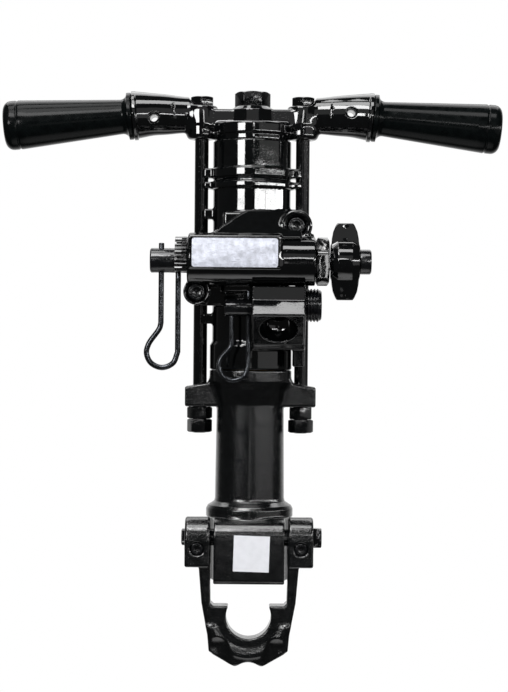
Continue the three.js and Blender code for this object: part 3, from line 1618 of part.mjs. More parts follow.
// The whole drill
piece('backhead', backheadBody(), paint);
handles();
waterParts();
sideBolts();
ratchetParts();
rifleParts();
valveParts();
piece('cylinder', cylinderBody(), paint);
chestFittings();
piece('control_block', controlBlock(), roughPaint);
for (const place of screwPlaces) piece(`cap_screw_${place.name}`, capScrew(place), blackSteel);
piece('name_plate', namePlate(), aluminium);
leftEnd();
rightEnd();
clips();
piece('front_head', frontHead(), roughPaint);
piece('retainer_yoke', yoke(), roughPaint);
hingeParts();
chuckParts();
pistonParts();
piece('piston_guide', pistonGuide(), bronze);
piece('blank_label', blankLabel(), paper);

export default drill;
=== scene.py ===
import json
import math

import bmesh
import bpy
import numpy as np
from mathutils import Matrix, Vector


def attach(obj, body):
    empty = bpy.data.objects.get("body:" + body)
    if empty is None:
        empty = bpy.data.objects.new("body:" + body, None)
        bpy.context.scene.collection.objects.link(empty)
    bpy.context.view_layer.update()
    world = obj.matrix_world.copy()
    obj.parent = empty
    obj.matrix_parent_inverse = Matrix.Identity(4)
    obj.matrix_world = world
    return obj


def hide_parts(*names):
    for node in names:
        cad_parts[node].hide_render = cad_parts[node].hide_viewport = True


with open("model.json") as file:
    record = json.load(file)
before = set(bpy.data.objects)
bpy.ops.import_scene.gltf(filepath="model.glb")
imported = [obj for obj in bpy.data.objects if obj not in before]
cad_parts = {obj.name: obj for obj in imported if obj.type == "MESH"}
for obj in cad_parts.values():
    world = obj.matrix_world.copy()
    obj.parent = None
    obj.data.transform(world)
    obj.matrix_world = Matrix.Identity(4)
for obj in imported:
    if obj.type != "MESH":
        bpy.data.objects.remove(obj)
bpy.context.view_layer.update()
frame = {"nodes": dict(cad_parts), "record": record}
NODES = frame["nodes"]
MM = 0.001

# Camera, floor and light, in metres
scene = bpy.context.scene
DISTANCE = 1.95
CAMERA_X = 0.0033
CAMERA_HEIGHT = 0.2323
CAMERA_ROLL = math.radians(0.48)
PICTURE_HEIGHT = 0.692
SENSOR = 36
FLOOR_HEIGHT = -0.7
FLOOR_RADIUS = 0.62
FLOOR_FADE = (0.2, 0.6)
FLOOR_TONE = 0.86
WHITE_BEHIND = (0.45, 1.0)
DARK_IN_FRONT = 0.035
AMBIENT = 0.25
LIT_POINT = Vector((0, 0, 0.3))


def linked(name, data):
    obj = bpy.data.objects.new(name, data)
    scene.collection.objects.link(obj)
    return obj


def add_camera():
    data = bpy.data.cameras.new("camera")
    data.sensor_width = SENSOR
    data.lens = SENSOR * DISTANCE / PICTURE_HEIGHT
    data.clip_start = 0.05
    data.clip_end = 30
    camera = linked("camera", data)
    camera.location = (CAMERA_X, -DISTANCE, CAMERA_HEIGHT)
    turn = Matrix.Rotation(math.pi / 2, 4, "X") @ Matrix.Rotation(CAMERA_ROLL, 4, "Z")
    camera.rotation_euler = turn.to_euler()
    scene.camera = camera


def add_light(name, azimuth, height, distance, width, tall, radiance):
    """An area light of even radiance that faces the drill; azimuth 0 is the viewer's side."""
    a = math.radians(azimuth)
    data = bpy.data.lights.new(name, "AREA")
    data.shape = "RECTANGLE"
    data.size, data.size_y = width, tall
    data.energy = radiance * math.pi * width * tall
    light = linked(name, data)
    light.location = (math.sin(a) * distance, -math.cos(a) * distance, height)
    light.rotation_mode = "QUATERNION"
    light.rotation_quaternion = (LIT_POINT - light.location).to_track_quat("-Z", "Y")


def nodes_of(tree):
    tree.nodes.clear()

    def add(kind, at=(0, 0), **values):
        node = tree.nodes.new(kind)
        node.location = at
        for key, value in values.items():
            setattr(node, key, value)
        return node

    return add, tree.links.new


def add_world():
    """Glossy rays see a studio that is white behind the drill and dark in front of it."""
    world = bpy.data.worlds.new("studio")
    scene.world = world
    world.use_nodes = True
    add, link = nodes_of(world.node_tree)
    path = add("ShaderNodeLightPath")
    seen = add("ShaderNodeMath", operation="MAXIMUM")
    link(path.outputs["Is Camera Ray"], seen.inputs[0])
    link(path.outputs["Is Transmission Ray"], seen.inputs[1])
    even = add("ShaderNodeMath", operation="MAXIMUM")
    link(seen.outputs[0], even.inputs[0])
    even.inputs[1].default_value = AMBIENT
    split = add("ShaderNodeSeparateXYZ")
    link(add("ShaderNodeTexCoord").outputs["Generated"], split.inputs[0])
    ramp = add("ShaderNodeMapRange", interpolation_type="SMOOTHSTEP")
    link(split.outputs["Y"], ramp.inputs["Value"])
    ramp.inputs["From Min"].default_value, ramp.inputs["From Max"].default_value = WHITE_BEHIND
    ramp.inputs["To Min"].default_value = DARK_IN_FRONT
    pick = add("ShaderNodeMix", data_type="FLOAT")
    link(path.outputs["Is Glossy Ray"], pick.inputs["Factor"])
    link(even.outputs[0], pick.inputs[2])
    link(ramp.outputs["Result"], pick.inputs[3])
    sky = add("ShaderNodeBackground")
    sky.inputs["Color"].default_value = (1, 1, 1, 1)
    link(pick.outputs[0], sky.inputs["Strength"])
    link(sky.outputs[0], add("ShaderNodeOutputWorld").inputs["Surface"])


def add_floor():
    mesh = bpy.data.meshes.new("floor")
    bm = bmesh.new()
    bmesh.ops.create_circle(bm, cap_ends=True, segments=96, radius=FLOOR_RADIUS)
    bm.to_mesh(mesh)
    bm.free()
    floor = linked("floor", mesh)
    floor.location = (0, 0, FLOOR_HEIGHT)
    look = bpy.data.materials.new("floor")
    look.use_nodes = True
    add, link = nodes_of(look.node_tree)
    far = add("ShaderNodeVectorMath", operation="LENGTH")
    link(add("ShaderNodeTexCoord").outputs["Object"], far.inputs[0])
    fade = add("ShaderNodeMapRange", interpolation_type="SMOOTHSTEP")
    link(far.outputs["Value"], fade.inputs["Value"])
    fade.inputs["From Min"].default_value, fade.inputs["From Max"].default_value = FLOOR_FADE
    matt = add("ShaderNodeBsdfDiffuse")
    matt.inputs["Color"].default_value = (FLOOR_TONE, FLOOR_TONE, FLOOR_TONE, 1)
    clear = add("ShaderNodeBsdfTransparent")
    mix = add("ShaderNodeMixShader")
    link(fade.outputs["Result"], mix.inputs["Fac"])
    link(matt.outputs[0], mix.inputs[1])
    link(clear.outputs[0], mix.inputs[2])
    link(mix.outputs[0], add("ShaderNodeOutputMaterial").inputs["Surface"])
    floor.data.materials.append(look)


# Each light: azimuth in degrees, then height, distance, width and tallness in metres, and radiance
LIGHTS = {
    "left_strip": (-32, 0.64, 1.7, 0.62, 0.34, 13),
    "front_right": (4.4, 0.7, 1.7, 0.14, 0.14, 8),
    "front_low": (0, 0.03, 2.1, 0.14, 0.36, 0.8),
    "front_top": (-20, 1.5, 1.2, 0.8, 0.46, 11),
    "front_wall": (0, 1.1, 1.9, 2.4, 0.8, 0.24),
    "ceiling": (0, 1.75, 0.7, 1.5, 0.5, 5),
    "back_top": (180, 1.7, 0.9, 2.0, 1.0, 2.5),
    "top_left": (-80, 1.75, 0.42, 0.5, 0.6, 4),
    "right_strip_24": (24, 0.5, 1.7, 0.95, 0.07, 14),
    "right_strip_56": (56, 0.5, 1.7, 0.95, 0.07, 14),
    "right_strip_88": (88, 0.5, 1.7, 0.95, 0.07, 14),
    "right_wall": (52, 0.25, 1.75, 2.2, 0.9, 0.32),
}


def add_stage():
    add_camera()
    add_world()
    add_floor()
    for name, values in LIGHTS.items():
        add_light(name, *values)
    scene.view_settings.view_transform = "Standard"


# Clearances, and the overrun of the grip sockets
SEAT_GAP = 0.3
RUN_GAP = 0.35
OVERRUN = 3

# Lengths that stack up along the drill axis, from the nose
FRONT_HEAD_LENGTH = 208.4
CYLINDER_LENGTH = 188.6
HOUSING_LENGTH = 38.1

# Side bolts with their heads, nuts and guide ears
BOLT_OFFSET = 50.5
BOLT_RADIUS = 6.9
BOLT_HOLE_RADIUS = 7.25
BOLT_HEAD_FLATS = 22
BOLT_HEAD_HEIGHT = 9
BOLT_SPOT_RADIUS = 13.2
BOLT_SPOT_HEIGHT = 25
BOLT_TAIL = 0.6
BOLT_EDGE = 0.8
NUT_FLATS = 21.8
NUT_HEIGHT = 11.9
LOCKNUT_HEIGHT = 13.2
EAR_ROOT = 26
EAR_REACH = 50.2
EAR_HALF_DEPTH = 9.6
EAR_CORNER = 4

# Backhead: neck, flange, hub, bolt bosses and the ridge between them
NECK_RADIUS = 37
NECK_HEIGHT = 7.1
FLANGE_RADIUS = 38.8
FLANGE_THICKNESS = 10.6
FLANGE_EDGE = 1.4
HUB_RADIUS = 17.7
HUB_FOOT_RADIUS = 21.5
HUB_HEIGHT = 17.4
HUB_CHAMFER_HEIGHT = 4
BOSS_RADIUS = 15.2
BOSS_LIFT = 2
BOSS_HEIGHT = 33.3
RIDGE_HALF_DEPTH = 17
RIDGE_TOP_HALF_DEPTH = 10
RIDGE_HEIGHT = 14.1
SPIGOT_RADIUS = 30
SPIGOT_GAP_BELOW = 0.4

# Handle arms, their sockets and cross pins; a swell is a place along the arm, a size and a rise
ARM_HEIGHT = 25.2
ARM_MOUTH_OFFSET = 119.5
ARM_ROOT_HALF_DEPTH = 12.5
ARM_ROOT_HALF_HEIGHT = 17.8
ARM_MOUTH_RADIUS = 24.4
ARM_LIP_LENGTH = 4
ARM_RISE = 1.4
ARM_SWELL_SHARES = ((0, 0, 1), (0.25, 0, 1), (0.5, 0.35, 1.2), (0.75, 0.52, 1.35), (0.93, 0.93, 0.4))
GRIP_DROOP = math.radians(5)
SOCKET_RADIUS = 14.5
SOCKET_DEPTH = 42
CROSS_PIN_OFFSET = 98
CROSS_PIN_RADIUS = 5
CROSS_PIN_BORE = 3.9
CROSS_PIN_HALF_LENGTH = 17
CROSS_PIN_SHIFT = 3.2

# Grips
GRIP_LENGTH = 128.6
GRIP_SPIGOT_RADIUS = 14.2
GRIP_SPIGOT_LENGTH = 40
GRIP_FLANGE_RADIUS = 23.5
GRIP_FLANGE_THICKNESS = 4.6
GRIP_WAIST_RADIUS = 17.15
GRIP_WAIST_PLACE = 11.5
GRIP_END_RADIUS = 24.45
GRIP_END_ROUND = 8
GRIP_EDGE = 1.6

# Plug of the water tube, and the holes for the tube and its seal
PLUG_FLATS = 30.8
PLUG_HEIGHT = 14.2
PLUG_SHANK_RADIUS = 12.9
PLUG_SHANK_LENGTH = 24
WATER_TUBE_HOLE = 3.8
SEAL_RADIUS = 7.2

# Ratchet housing and the room of its ratchet ring
HOUSING_RADIUS = 39.1
HOUSING_FLANGE_RADIUS = 41
HOUSING_FLANGE_LIFT = 1.7
HOUSING_FLANGE_HEIGHT = 9.7
RATCHET_RING_RADIUS = 34
RATCHET_RING_HEIGHT = 17

# Cylinder
CYLINDER_RADIUS = 38.75
CYLINDER_BORE = 32
CYLINDER_FLOOR = 27
CYLINDER_FLOOR_BORE = 18
WAIST_RADIUS = 41
WAIST_HEIGHT = 28.3
WAIST_CHAMFER = 4.2
CYLINDER_FLANGE_RADIUS = 41
CYLINDER_FLANGE_HEIGHT = 6.6
CYLINDER_FLANGE_DROP = 1.8
VALVE_POCKET_RADIUS = 34
VALVE_POCKET_DEPTH = 16.2
EAR_BAND_HEIGHT = 10.3
UPPER_EAR_DROP = 39
LOWER_EAR_LIFT = 45.4
PAD_HALF_WIDTH = 27.8
PAD_FRONT = 43
PAD_DROP = 31
PAD_HEIGHT = 80

# Exhaust and inlet chest on the cylinder
CHEST_LEFT = 0.8
CHEST_WIDTH = 52
CHEST_BACK = 20
CHEST_HEIGHT = 61.3
CHEST_BROW_DROP = 13.3
CHEST_BROW_DEPTH = 68
CHEST_NOSE_DROP = 28.2
CHEST_NOSE_DEPTH = 83
CHEST_FOOT_RISE = 4.6
CHEST_FOOT_DEPTH = 50
CHEST_GAP = 0.5
EXHAUST_RADIUS = 18
EXHAUST_THROAT_DEPTH = 21
EXHAUST_PORT_RADIUS = 8
TAIL_HEIGHT = 17
TAIL_WIDTH = 11.6
TAIL_DEPTH = 34

# Hose nipple on the right of the chest
NIPPLE_RADIUS = 16.2
NIPPLE_BORE = 10.8
NIPPLE_LENGTH = 15.5
NIPPLE_TAIL_RADIUS = 13.6
NIPPLE_TAIL_LENGTH = 9
NIPPLE_DROP = 18.1
NIPPLE_DEPTH = 50
NIPPLE_CHAMFER = 1.5

# Lower clip socket on the left of the chest
LOWER_SOCKET_RADIUS = 8.5
LOWER_SOCKET_LENGTH = 25.9
LOWER_SOCKET_DROP = 20.7
LOWER_SOCKET_TAIL_RADIUS = 5.6
LOWER_SOCKET_TAIL_LENGTH = 8
LOWER_SOCKET_BORE = 4
LOWER_SOCKET_BORE_DEPTH = 14

# Control block, bolted to the pad by two cap screws
BARREL_RADIUS = 23.6
BARREL_DEPTH = 60
BARREL_HEIGHT = 314.5
BARREL_HALF_LENGTH = 62
BLOCK_TOP_LIFT = 27.1
BLOCK_BOTTOM_DROP = 20.8
BLOCK_INSET = 1.4
FACE_DEPTH = 85
FACE_TOP_LIFT = 24
FACE_BOTTOM_DROP = 7.6
FACE_RIGHT = 28.9
BLOCK_EDGE = 1.6
GUSSET_LEFT = 40.3
GUSSET_CROWN_LEFT = 4.8
GUSSET_RIGHT_INSET = 13.4
GUSSET_ROUND = 5
GUSSET_TOP_LIFT = 51.1
GUSSET_TOP_DEPTH = 46
GUSSET_FOOT_DEPTH = 74
UPPER_BOSS_INSET = 18.4
UPPER_BOSS_LIFT = 34.7
UPPER_BOSS_RADIUS = 15.4
LOWER_BOSS_INSET = 9
LOWER_BOSS_DROP = 30
LOWER_BOSS_RADIUS = 12.8
BOSS_FACE_DEPTH = 62
BOSS_BACK_DEPTH = 30
LUG_BACK_DEPTH = 10
LUG_ROOT_OFFSET = 18
SCREW_HOLE_RADIUS = 5.3
SCREW_SHANK_RADIUS = 5
SCREW_HEAD_RADIUS = 8.4
SCREW_HEAD_HEIGHT = 10
SCREW_SINK = 1.6
COUNTERBORE_RADIUS = 9.4
SCREW_SOCKET_FLATS = 8
SCREW_SOCKET_DEPTH = 5
SCREW_LENGTH = 48

# Name plate on the face of the control block
PLATE_INSET = 3.6
PLATE_WIDTH = 82.6
PLATE_HEIGHT = 27.8
PLATE_THICKNESS = 1.2
PLATE_CORNER = 2.5
PLATE_TOP_GAP = 3.1

# Left end of the control block: serrated collar and clip socket
COLLAR_RING_RADIUS = 23.2
COLLAR_RING_WIDTH = 11.3
COLLAR_RING_DROP = 11.1
SERRATION_COUNT = 36
SERRATION_DEPTH = 1.3
PORT_SOCKET_RADIUS = 12
PORT_SOCKET_LENGTH = 35.6
PORT_TAIL_RADIUS = 9
PORT_TAIL_LENGTH = 11
PORT_BORE = 6
PORT_BORE_DEPTH = 9

# Right end: gland nut, throttle spindle, wing knob and end nut
GLAND_FLATS = 41.1
GLAND_WIDTH = 13.1
GLAND_TURN = math.radians(-18)
GLAND_TAIL_RADIUS = 15.6
GLAND_TAIL_LENGTH = 13.5
SPINDLE_RADIUS = 14.2
SPINDLE_LENGTH = 86
STEM_RADIUS = 8
KNOB_GAP = 1.5
KNOB_WIDTH = 27.6
KNOB_HUB_RADIUS = 19.4
KNOB_HUB_END_RADIUS = 16
KNOB_HALF_SPAN = 37.2
KNOB_TIP_WIDTH = 15.3
KNOB_TIP_HALF_THICKNESS = 5
KNOB_ROOT_HALF_THICKNESS = 11
END_NUT_RADIUS = 12.1
END_NUT_LENGTH = 11.4
END_NUT_BORE = 5.3
END_NUT_CHAMFER = 1.4

# Spring wire clips: each has a straight leg, a round loop and a leg with a kink
CLIP_WIRE_RADIUS = 2.7
CLIP_PIN_INSET = 10.8
CLIP_PIN_PROUD = 17
CLIP_SPAN = 16.4
CLIP_LEG_TOP = 11.4
CLIP_KINK_DROP = 60.4
CLIP_LOOP_DROP = 88.7
CLIP_LOOP_RADIUS = 15.1
SHORT_WIRE_RADIUS = 2.35
SHORT_PIN_INSET = 2.85
SHORT_PIN_PROUD = 16.9
SHORT_SPAN = 16.2
SHORT_LEG_TOP = 7.8
SHORT_KINK_DROP = 33.9
SHORT_LOOP_DROP = 57
SHORT_LOOP_RADIUS = 14.2
CLIP_HOLE_GAP = 0.35
CLIP_LOOP_ANGLES = [150, 185, 225, 270, 315]
CLIP_KINK_SHARES = [0.5, 2]

# Front head: shoulder, bolt lugs, tube, flare, collar and nose
SHOULDER_RADIUS = 41
SHOULDER_HEIGHT = 11.5
SHOULDER_BLEND = 23
TUBE_TOP_RADIUS = 33.5
TUBE_BOTTOM_RADIUS = 34.5
COLLAR_RADIUS = 43.3
COLLAR_THICKNESS = 9
COLLAR_EDGE = 1.6
COLLAR_SINK = 1.2
FLARE_HEIGHT = 10.5
FLARE_SHARES = [[0.8, 0.31], [0.43, 0.5], [0.08, 0.71]]
SHOULDER_SHARES = [0.5, 2 / 3]
LUG_HALF_WIDTH = 65
LUG_BOTTOM = 171.7
LUG_SIDE_HEIGHT = 19.9
LUG_CROWN_LIFT = 3.5
LUG_CROWN_OFFSET = 43.7
LUG_HALF_DEPTH = 14
LUG_EDGE = 1.6
HINGE_HEIGHT = 44.5
HINGE_DEPTH = 36
NOSE_BARREL_RADIUS = 18.2
NOSE_HALF_WIDTH = 34.6
NOSE_BODY_RADIUS = 40.6
NOSE_EDGE = 1.6
NOSE_FOOT_ROUND = 3
MOUTH_RADIUS = 15.6
MOUTH_LIP = 8
CHUCK_BORE = 22.8
CHUCK_BORE_TOP = 55
HEAD_BORE = 26.1
GUIDE_POCKET_DEPTH = 9.9

# Retainer yoke with its hinge pin and grub screws
YOKE_BOSS_INNER = 38.1
YOKE_BOSS_OUTER = 62.7
YOKE_BOSS_RADIUS = 20
YOKE_BOSS_DROP = 27.9
YOKE_HALF_THICKNESS = 13
YOKE_EDGE = 3
ARM_OUTER_TOP = 49.3
ARM_OUTER_MIDDLE = 46.3
ARM_OUTER_LOW = 40.4
YOKE_MIDDLE_DROP = 63.3
YOKE_LOW_DROP = 94.5
YOKE_INNER_WAIST = 37.2
YOKE_WINDOW_RADIUS = 21.9
YOKE_WINDOW_DROP = 76.2
YOKE_STEP_DROP = 66.1
YOKE_STEP_CORNER = 4
YOKE_FOOT_HALF_WIDTH = 38.9
YOKE_FOOT_DROP = 110.6
YOKE_TOE_OFFSET = 14
YOKE_BOTTOM_DROP = 125
TOE_NOTCH_RADIUS = 16.5
TOE_NOTCH_DEPTH = 4.2
FORK_TOP_DROP = 104
FORK_BACK = 14
FORK_NOTCH_RADIUS = 13.5
FORK_HALF_WIDTH = 36
HINGE_PIN_RADIUS = 8.2
HINGE_PIN_HOLE_RADIUS = 8.5
HINGE_PIN_PROUD = 3.6
HINGE_HEAD_FLATS = 18.5
HINGE_HEAD_HEIGHT = 8
GRUB_OFFSET = 50.6
GRUB_DROP = 9.8
GRUB_RADIUS = 6.1
GRUB_HOLE_RADIUS = 6.5
GRUB_LENGTH = 9
GRUB_SINK = 1.6
GRUB_SOCKET_FLATS = 6
GRUB_SOCKET_DEPTH = 4

# Piston guide
GUIDE_HEIGHT = 30

# Heights along the drill axis that follow from the stack
CYLINDER_BOTTOM = FRONT_HEAD_LENGTH + SEAT_GAP
CYLINDER_TOP = CYLINDER_BOTTOM + CYLINDER_LENGTH
HOUSING_BOTTOM = CYLINDER_TOP + SEAT_GAP
HOUSING_TOP = HOUSING_BOTTOM + HOUSING_LENGTH
BACKHEAD_BOTTOM = HOUSING_TOP + SEAT_GAP
FLANGE_TOP = BACKHEAD_BOTTOM + NECK_HEIGHT + FLANGE_THICKNESS
HUB_TOP = FLANGE_TOP + HUB_HEIGHT
ARM_AXIS_HEIGHT = BACKHEAD_BOTTOM + ARM_HEIGHT
BOLT_BOSS_BOTTOM = BACKHEAD_BOTTOM + BOSS_LIFT
BOLT_BOSS_TOP = BOLT_BOSS_BOTTOM + BOSS_HEIGHT
NOSE_TOP = HINGE_HEIGHT + NOSE_BARREL_RADIUS
COLLAR_BOTTOM = NOSE_TOP - COLLAR_SINK
COLLAR_TOP = COLLAR_BOTTOM + COLLAR_THICKNESS
FLARE_TOP = COLLAR_TOP + FLARE_HEIGHT
VALVE_SHOULDER = CYLINDER_TOP - VALVE_POCKET_DEPTH
BARREL_BOTTOM = BARREL_HEIGHT - BARREL_RADIUS
BLOCK_HALF_WIDTH = BARREL_HALF_LENGTH - BLOCK_INSET
GUSSET_RIGHT = BARREL_HALF_LENGTH - GUSSET_RIGHT_INSET
UPPER_BOSS_X = BARREL_HALF_LENGTH - UPPER_BOSS_INSET
LOWER_BOSS_X = BARREL_HALF_LENGTH - LOWER_BOSS_INSET
PLATE_LEFT = BLOCK_HALF_WIDTH - PLATE_INSET
CHEST_TOP = BARREL_BOTTOM - CHEST_GAP
PAD_TOP = BARREL_HEIGHT - PAD_DROP + PAD_HEIGHT
BLOCK_BACK = PAD_FRONT + SEAT_GAP
GUIDE_BOTTOM = FRONT_HEAD_LENGTH - GUIDE_POCKET_DEPTH + SEAT_GAP
GUIDE_TOP = GUIDE_BOTTOM + GUIDE_HEIGHT
PISTON_SEAT = GUIDE_TOP + CYLINDER_FLOOR
NUT_TOP = LUG_BOTTOM - SEAT_GAP
LOCKNUT_TOP = NUT_TOP - NUT_HEIGHT - SEAT_GAP
BOLT_END = LOCKNUT_TOP - LOCKNUT_HEIGHT - BOLT_TAIL

# Distance fields, in mm
NET_BLOCK = 8
NET_BATCH = 1500
FAR_AWAY = 100
SLOPE_STEP = 0.02
LEAST_SLOPE = 0.25
LARGEST_MOVE = 0.4


def polygon(points):
    """Signed distance to a closed outline."""
    pts = [(float(u), float(v)) for u, v in points]

    def field(u, v):
        best = np.full(u.shape, 1e12, u.dtype)
        sign = np.ones(u.shape, u.dtype)
        for (ax, ay), (bx, by) in zip(pts, pts[-1:] + pts[:-1]):
            ex, ey = bx - ax, by - ay
            wx, wy = u - ax, v - ay
            t = np.clip((wx * ex + wy * ey) / (ex * ex + ey * ey), 0, 1)
            best = np.minimum(best, (wx - ex * t) ** 2 + (wy - ey * t) ** 2)
            above, below, left = v >= ay, v < by, ex * wy > ey * wx
            flip = (above & below & left) | (~above & ~below & ~left)
            sign = np.where(flip, -sign, sign)
        return sign * np.sqrt(best)

    return field


def inset(points, r):
    """The outline with every side moved inward by r."""
    area = sum(a[0] * b[1] - b[0] * a[1] for a, b in zip(points, points[1:] + points[:1]))
    pts = points if area > 0 else points[::-1]
    lines = []
    for (ax, ay), (bx, by) in zip(pts, pts[1:] + pts[:1]):
        length = math.hypot(bx - ax, by - ay)
        nx, ny = -(by - ay) / length, (bx - ax) / length
        lines.append((ax + nx * r, ay + ny * r, bx - ax, by - ay))
    out = []
    for (px, py, dx, dy), (qx, qy, ex, ey) in zip(lines[-1:] + lines[:-1], lines):
        cross = dx * ey - dy * ex
        if abs(cross) < 1e-9:
            out.append((qx, qy))
        else:
            t = ((qx - px) * ey - (qy - py) * ex) / cross
            out.append((px + dx * t, py + dy * t))
    return out


def drawn(points, r):
    """Distance to an outline moved inward by the round that is added to it later."""
    return polygon(inset(points, r) if r else points)


def across(axis, x, y, z):
    """Two coordinates across the axis and the one along it."""
    return {"z": (x, y, z), "x": (y, z, x), "y": (x, z, y)}[axis]


def edged(a, b, r):
    """What lies within both faces, with a round of r where they meet."""
    return np.minimum(np.maximum(a, b), 0) + np.hypot(np.maximum(a, 0), np.maximum(b, 0)) - r


def turned(points, r=0.0, axis="z", at=(0, 0)):
    """A body of revolution; the outline is [radius, height] from the axis outward and back."""
    solid = points[0][0] == 0
    whole = list(points) + [(-u, v) for u, v in reversed(points)] if solid else list(points)
    clean = []
    for p in whole:
        if not clean or math.dist(p, clean[-1]) > 1e-6:
            clean.append(p)
    if math.dist(clean[0], clean[-1]) < 1e-6:
        clean.pop()
    if solid:
        clean = [p for p in clean if p[0] != 0]
    field = drawn(clean, r)

    def shape(x, y, z):
        u, v, w = across(axis, x, y, z)
        return field(np.hypot(u - at[0], v - at[1]), w) - r

    return shape


def rod(radius, low, high, axis="z", at=(0, 0), r=0.0):
    """A round bar along an axis, with rounded ends."""
    def shape(x, y, z):
        u, v, w = across(axis, x, y, z)
        out = np.hypot(u - at[0], v - at[1]) - radius + r
        return edged(out, np.abs(w - (low + high) / 2) - (high - low) / 2 + r, r)

    return shape


def slab(points, low, high, axis="z", r=0.0):
    """An outline drawn across the axis: (x, y) for z, (x, z) for y and (y, z) for x."""
    field = drawn(points, r)

    def shape(x, y, z):
        u, v, w = across(axis, x, y, z)
        return edged(field(u, v), np.abs(w - (low + high) / 2) - (high - low) / 2 + r, r)

    return shape


def rod_between(a, b, radius, r=0.0):
    """A round bar with flat ends between two points."""
    a, b = np.array(a, float), np.array(b, float)
    length = np.linalg.norm(b - a)
    axis = (b - a) / length

    def shape(x, y, z):
        px, py, pz = x - a[0], y - a[1], z - a[2]
        t = px * axis[0] + py * axis[1] + pz * axis[2]
        out = np.sqrt(np.maximum(px * px + py * py + pz * pz - t * t, 0)) - radius + r
        return edged(out, np.abs(t - length / 2) - length / 2 + r, r)

    return shape


def block(low, high, r=0.0):
    """A box between two corners."""
    mid = [(a + b) / 2 for a, b in zip(low, high)]
    half = [(b - a) / 2 - r for a, b in zip(low, high)]

    def shape(x, y, z):
        q = [np.abs(p - m) - h for p, m, h in zip((x, y, z), mid, half)]
        out = np.sqrt(sum(np.maximum(c, 0) ** 2 for c in q))
        return out + np.minimum(np.maximum(np.maximum(q[0], q[1]), q[2]), 0) - r

    return shape


def stick(a, b, ra, rb):
    """A round bar between two points, with a radius at each end."""
    a, b = np.array(a, float), np.array(b, float)
    axis = b - a
    span = float(axis @ axis)

    def shape(x, y, z):
        t = np.clip(((x - a[0]) * axis[0] + (y - a[1]) * axis[1] + (z - a[2]) * axis[2]) / span, 0, 1)
        dx, dy, dz = x - a[0] - axis[0] * t, y - a[1] - axis[1] * t, z - a[2] - axis[2] * t
        return np.sqrt(dx * dx + dy * dy + dz * dz) - (ra + (rb - ra) * t)

    return shape


def smooth_min(a, b, k):
    """The lesser of the two, blended over a width of k."""
    if k <= 0:
        return np.minimum(a, b)
    h = np.maximum(k - np.abs(a - b), 0) / k
    return np.minimum(a, b) - h * h * k / 4


def union(k, *shapes):
    """The shapes together, with a fillet of about k between them."""
    def shape(x, y, z):
        d = shapes[0](x, y, z)
        for other in shapes[1:]:
            d = smooth_min(d, other(x, y, z), k)
        return d

    return shape


def cut(k, body, *tools):
    """The body less the tools, with edges rounded by about k."""
    def shape(x, y, z):
        d = body(x, y, z)
        for tool in tools:
            d = -smooth_min(-d, tool(x, y, z), k)
        return d

    return shape


def common(k, first, second):
    """What two shapes share, with edges rounded by about k."""
    return lambda x, y, z: -smooth_min(-first(x, y, z), -second(x, y, z), k)


def mirror(body):
    """The body on both sides of x = 0."""
    return lambda x, y, z: body(np.abs(x), y, z)


def cast(body, size, scale, seed):
    """Slow waves over the surface, as sand casting and thick paint leave them."""

    def shape(x, y, z):
        a = np.sin(x / scale * 1.3 + seed) * np.sin(y / scale * 1.1 + 1.7 * seed) * np.sin(z / scale + 0.6)
        b = np.sin((x + z) / scale * 2.1 + 2 + seed) * np.sin((y - z) / scale * 1.9 + 1)
        return body(x, y, z) + size * (0.6 * a + 0.4 * b)

    return shape


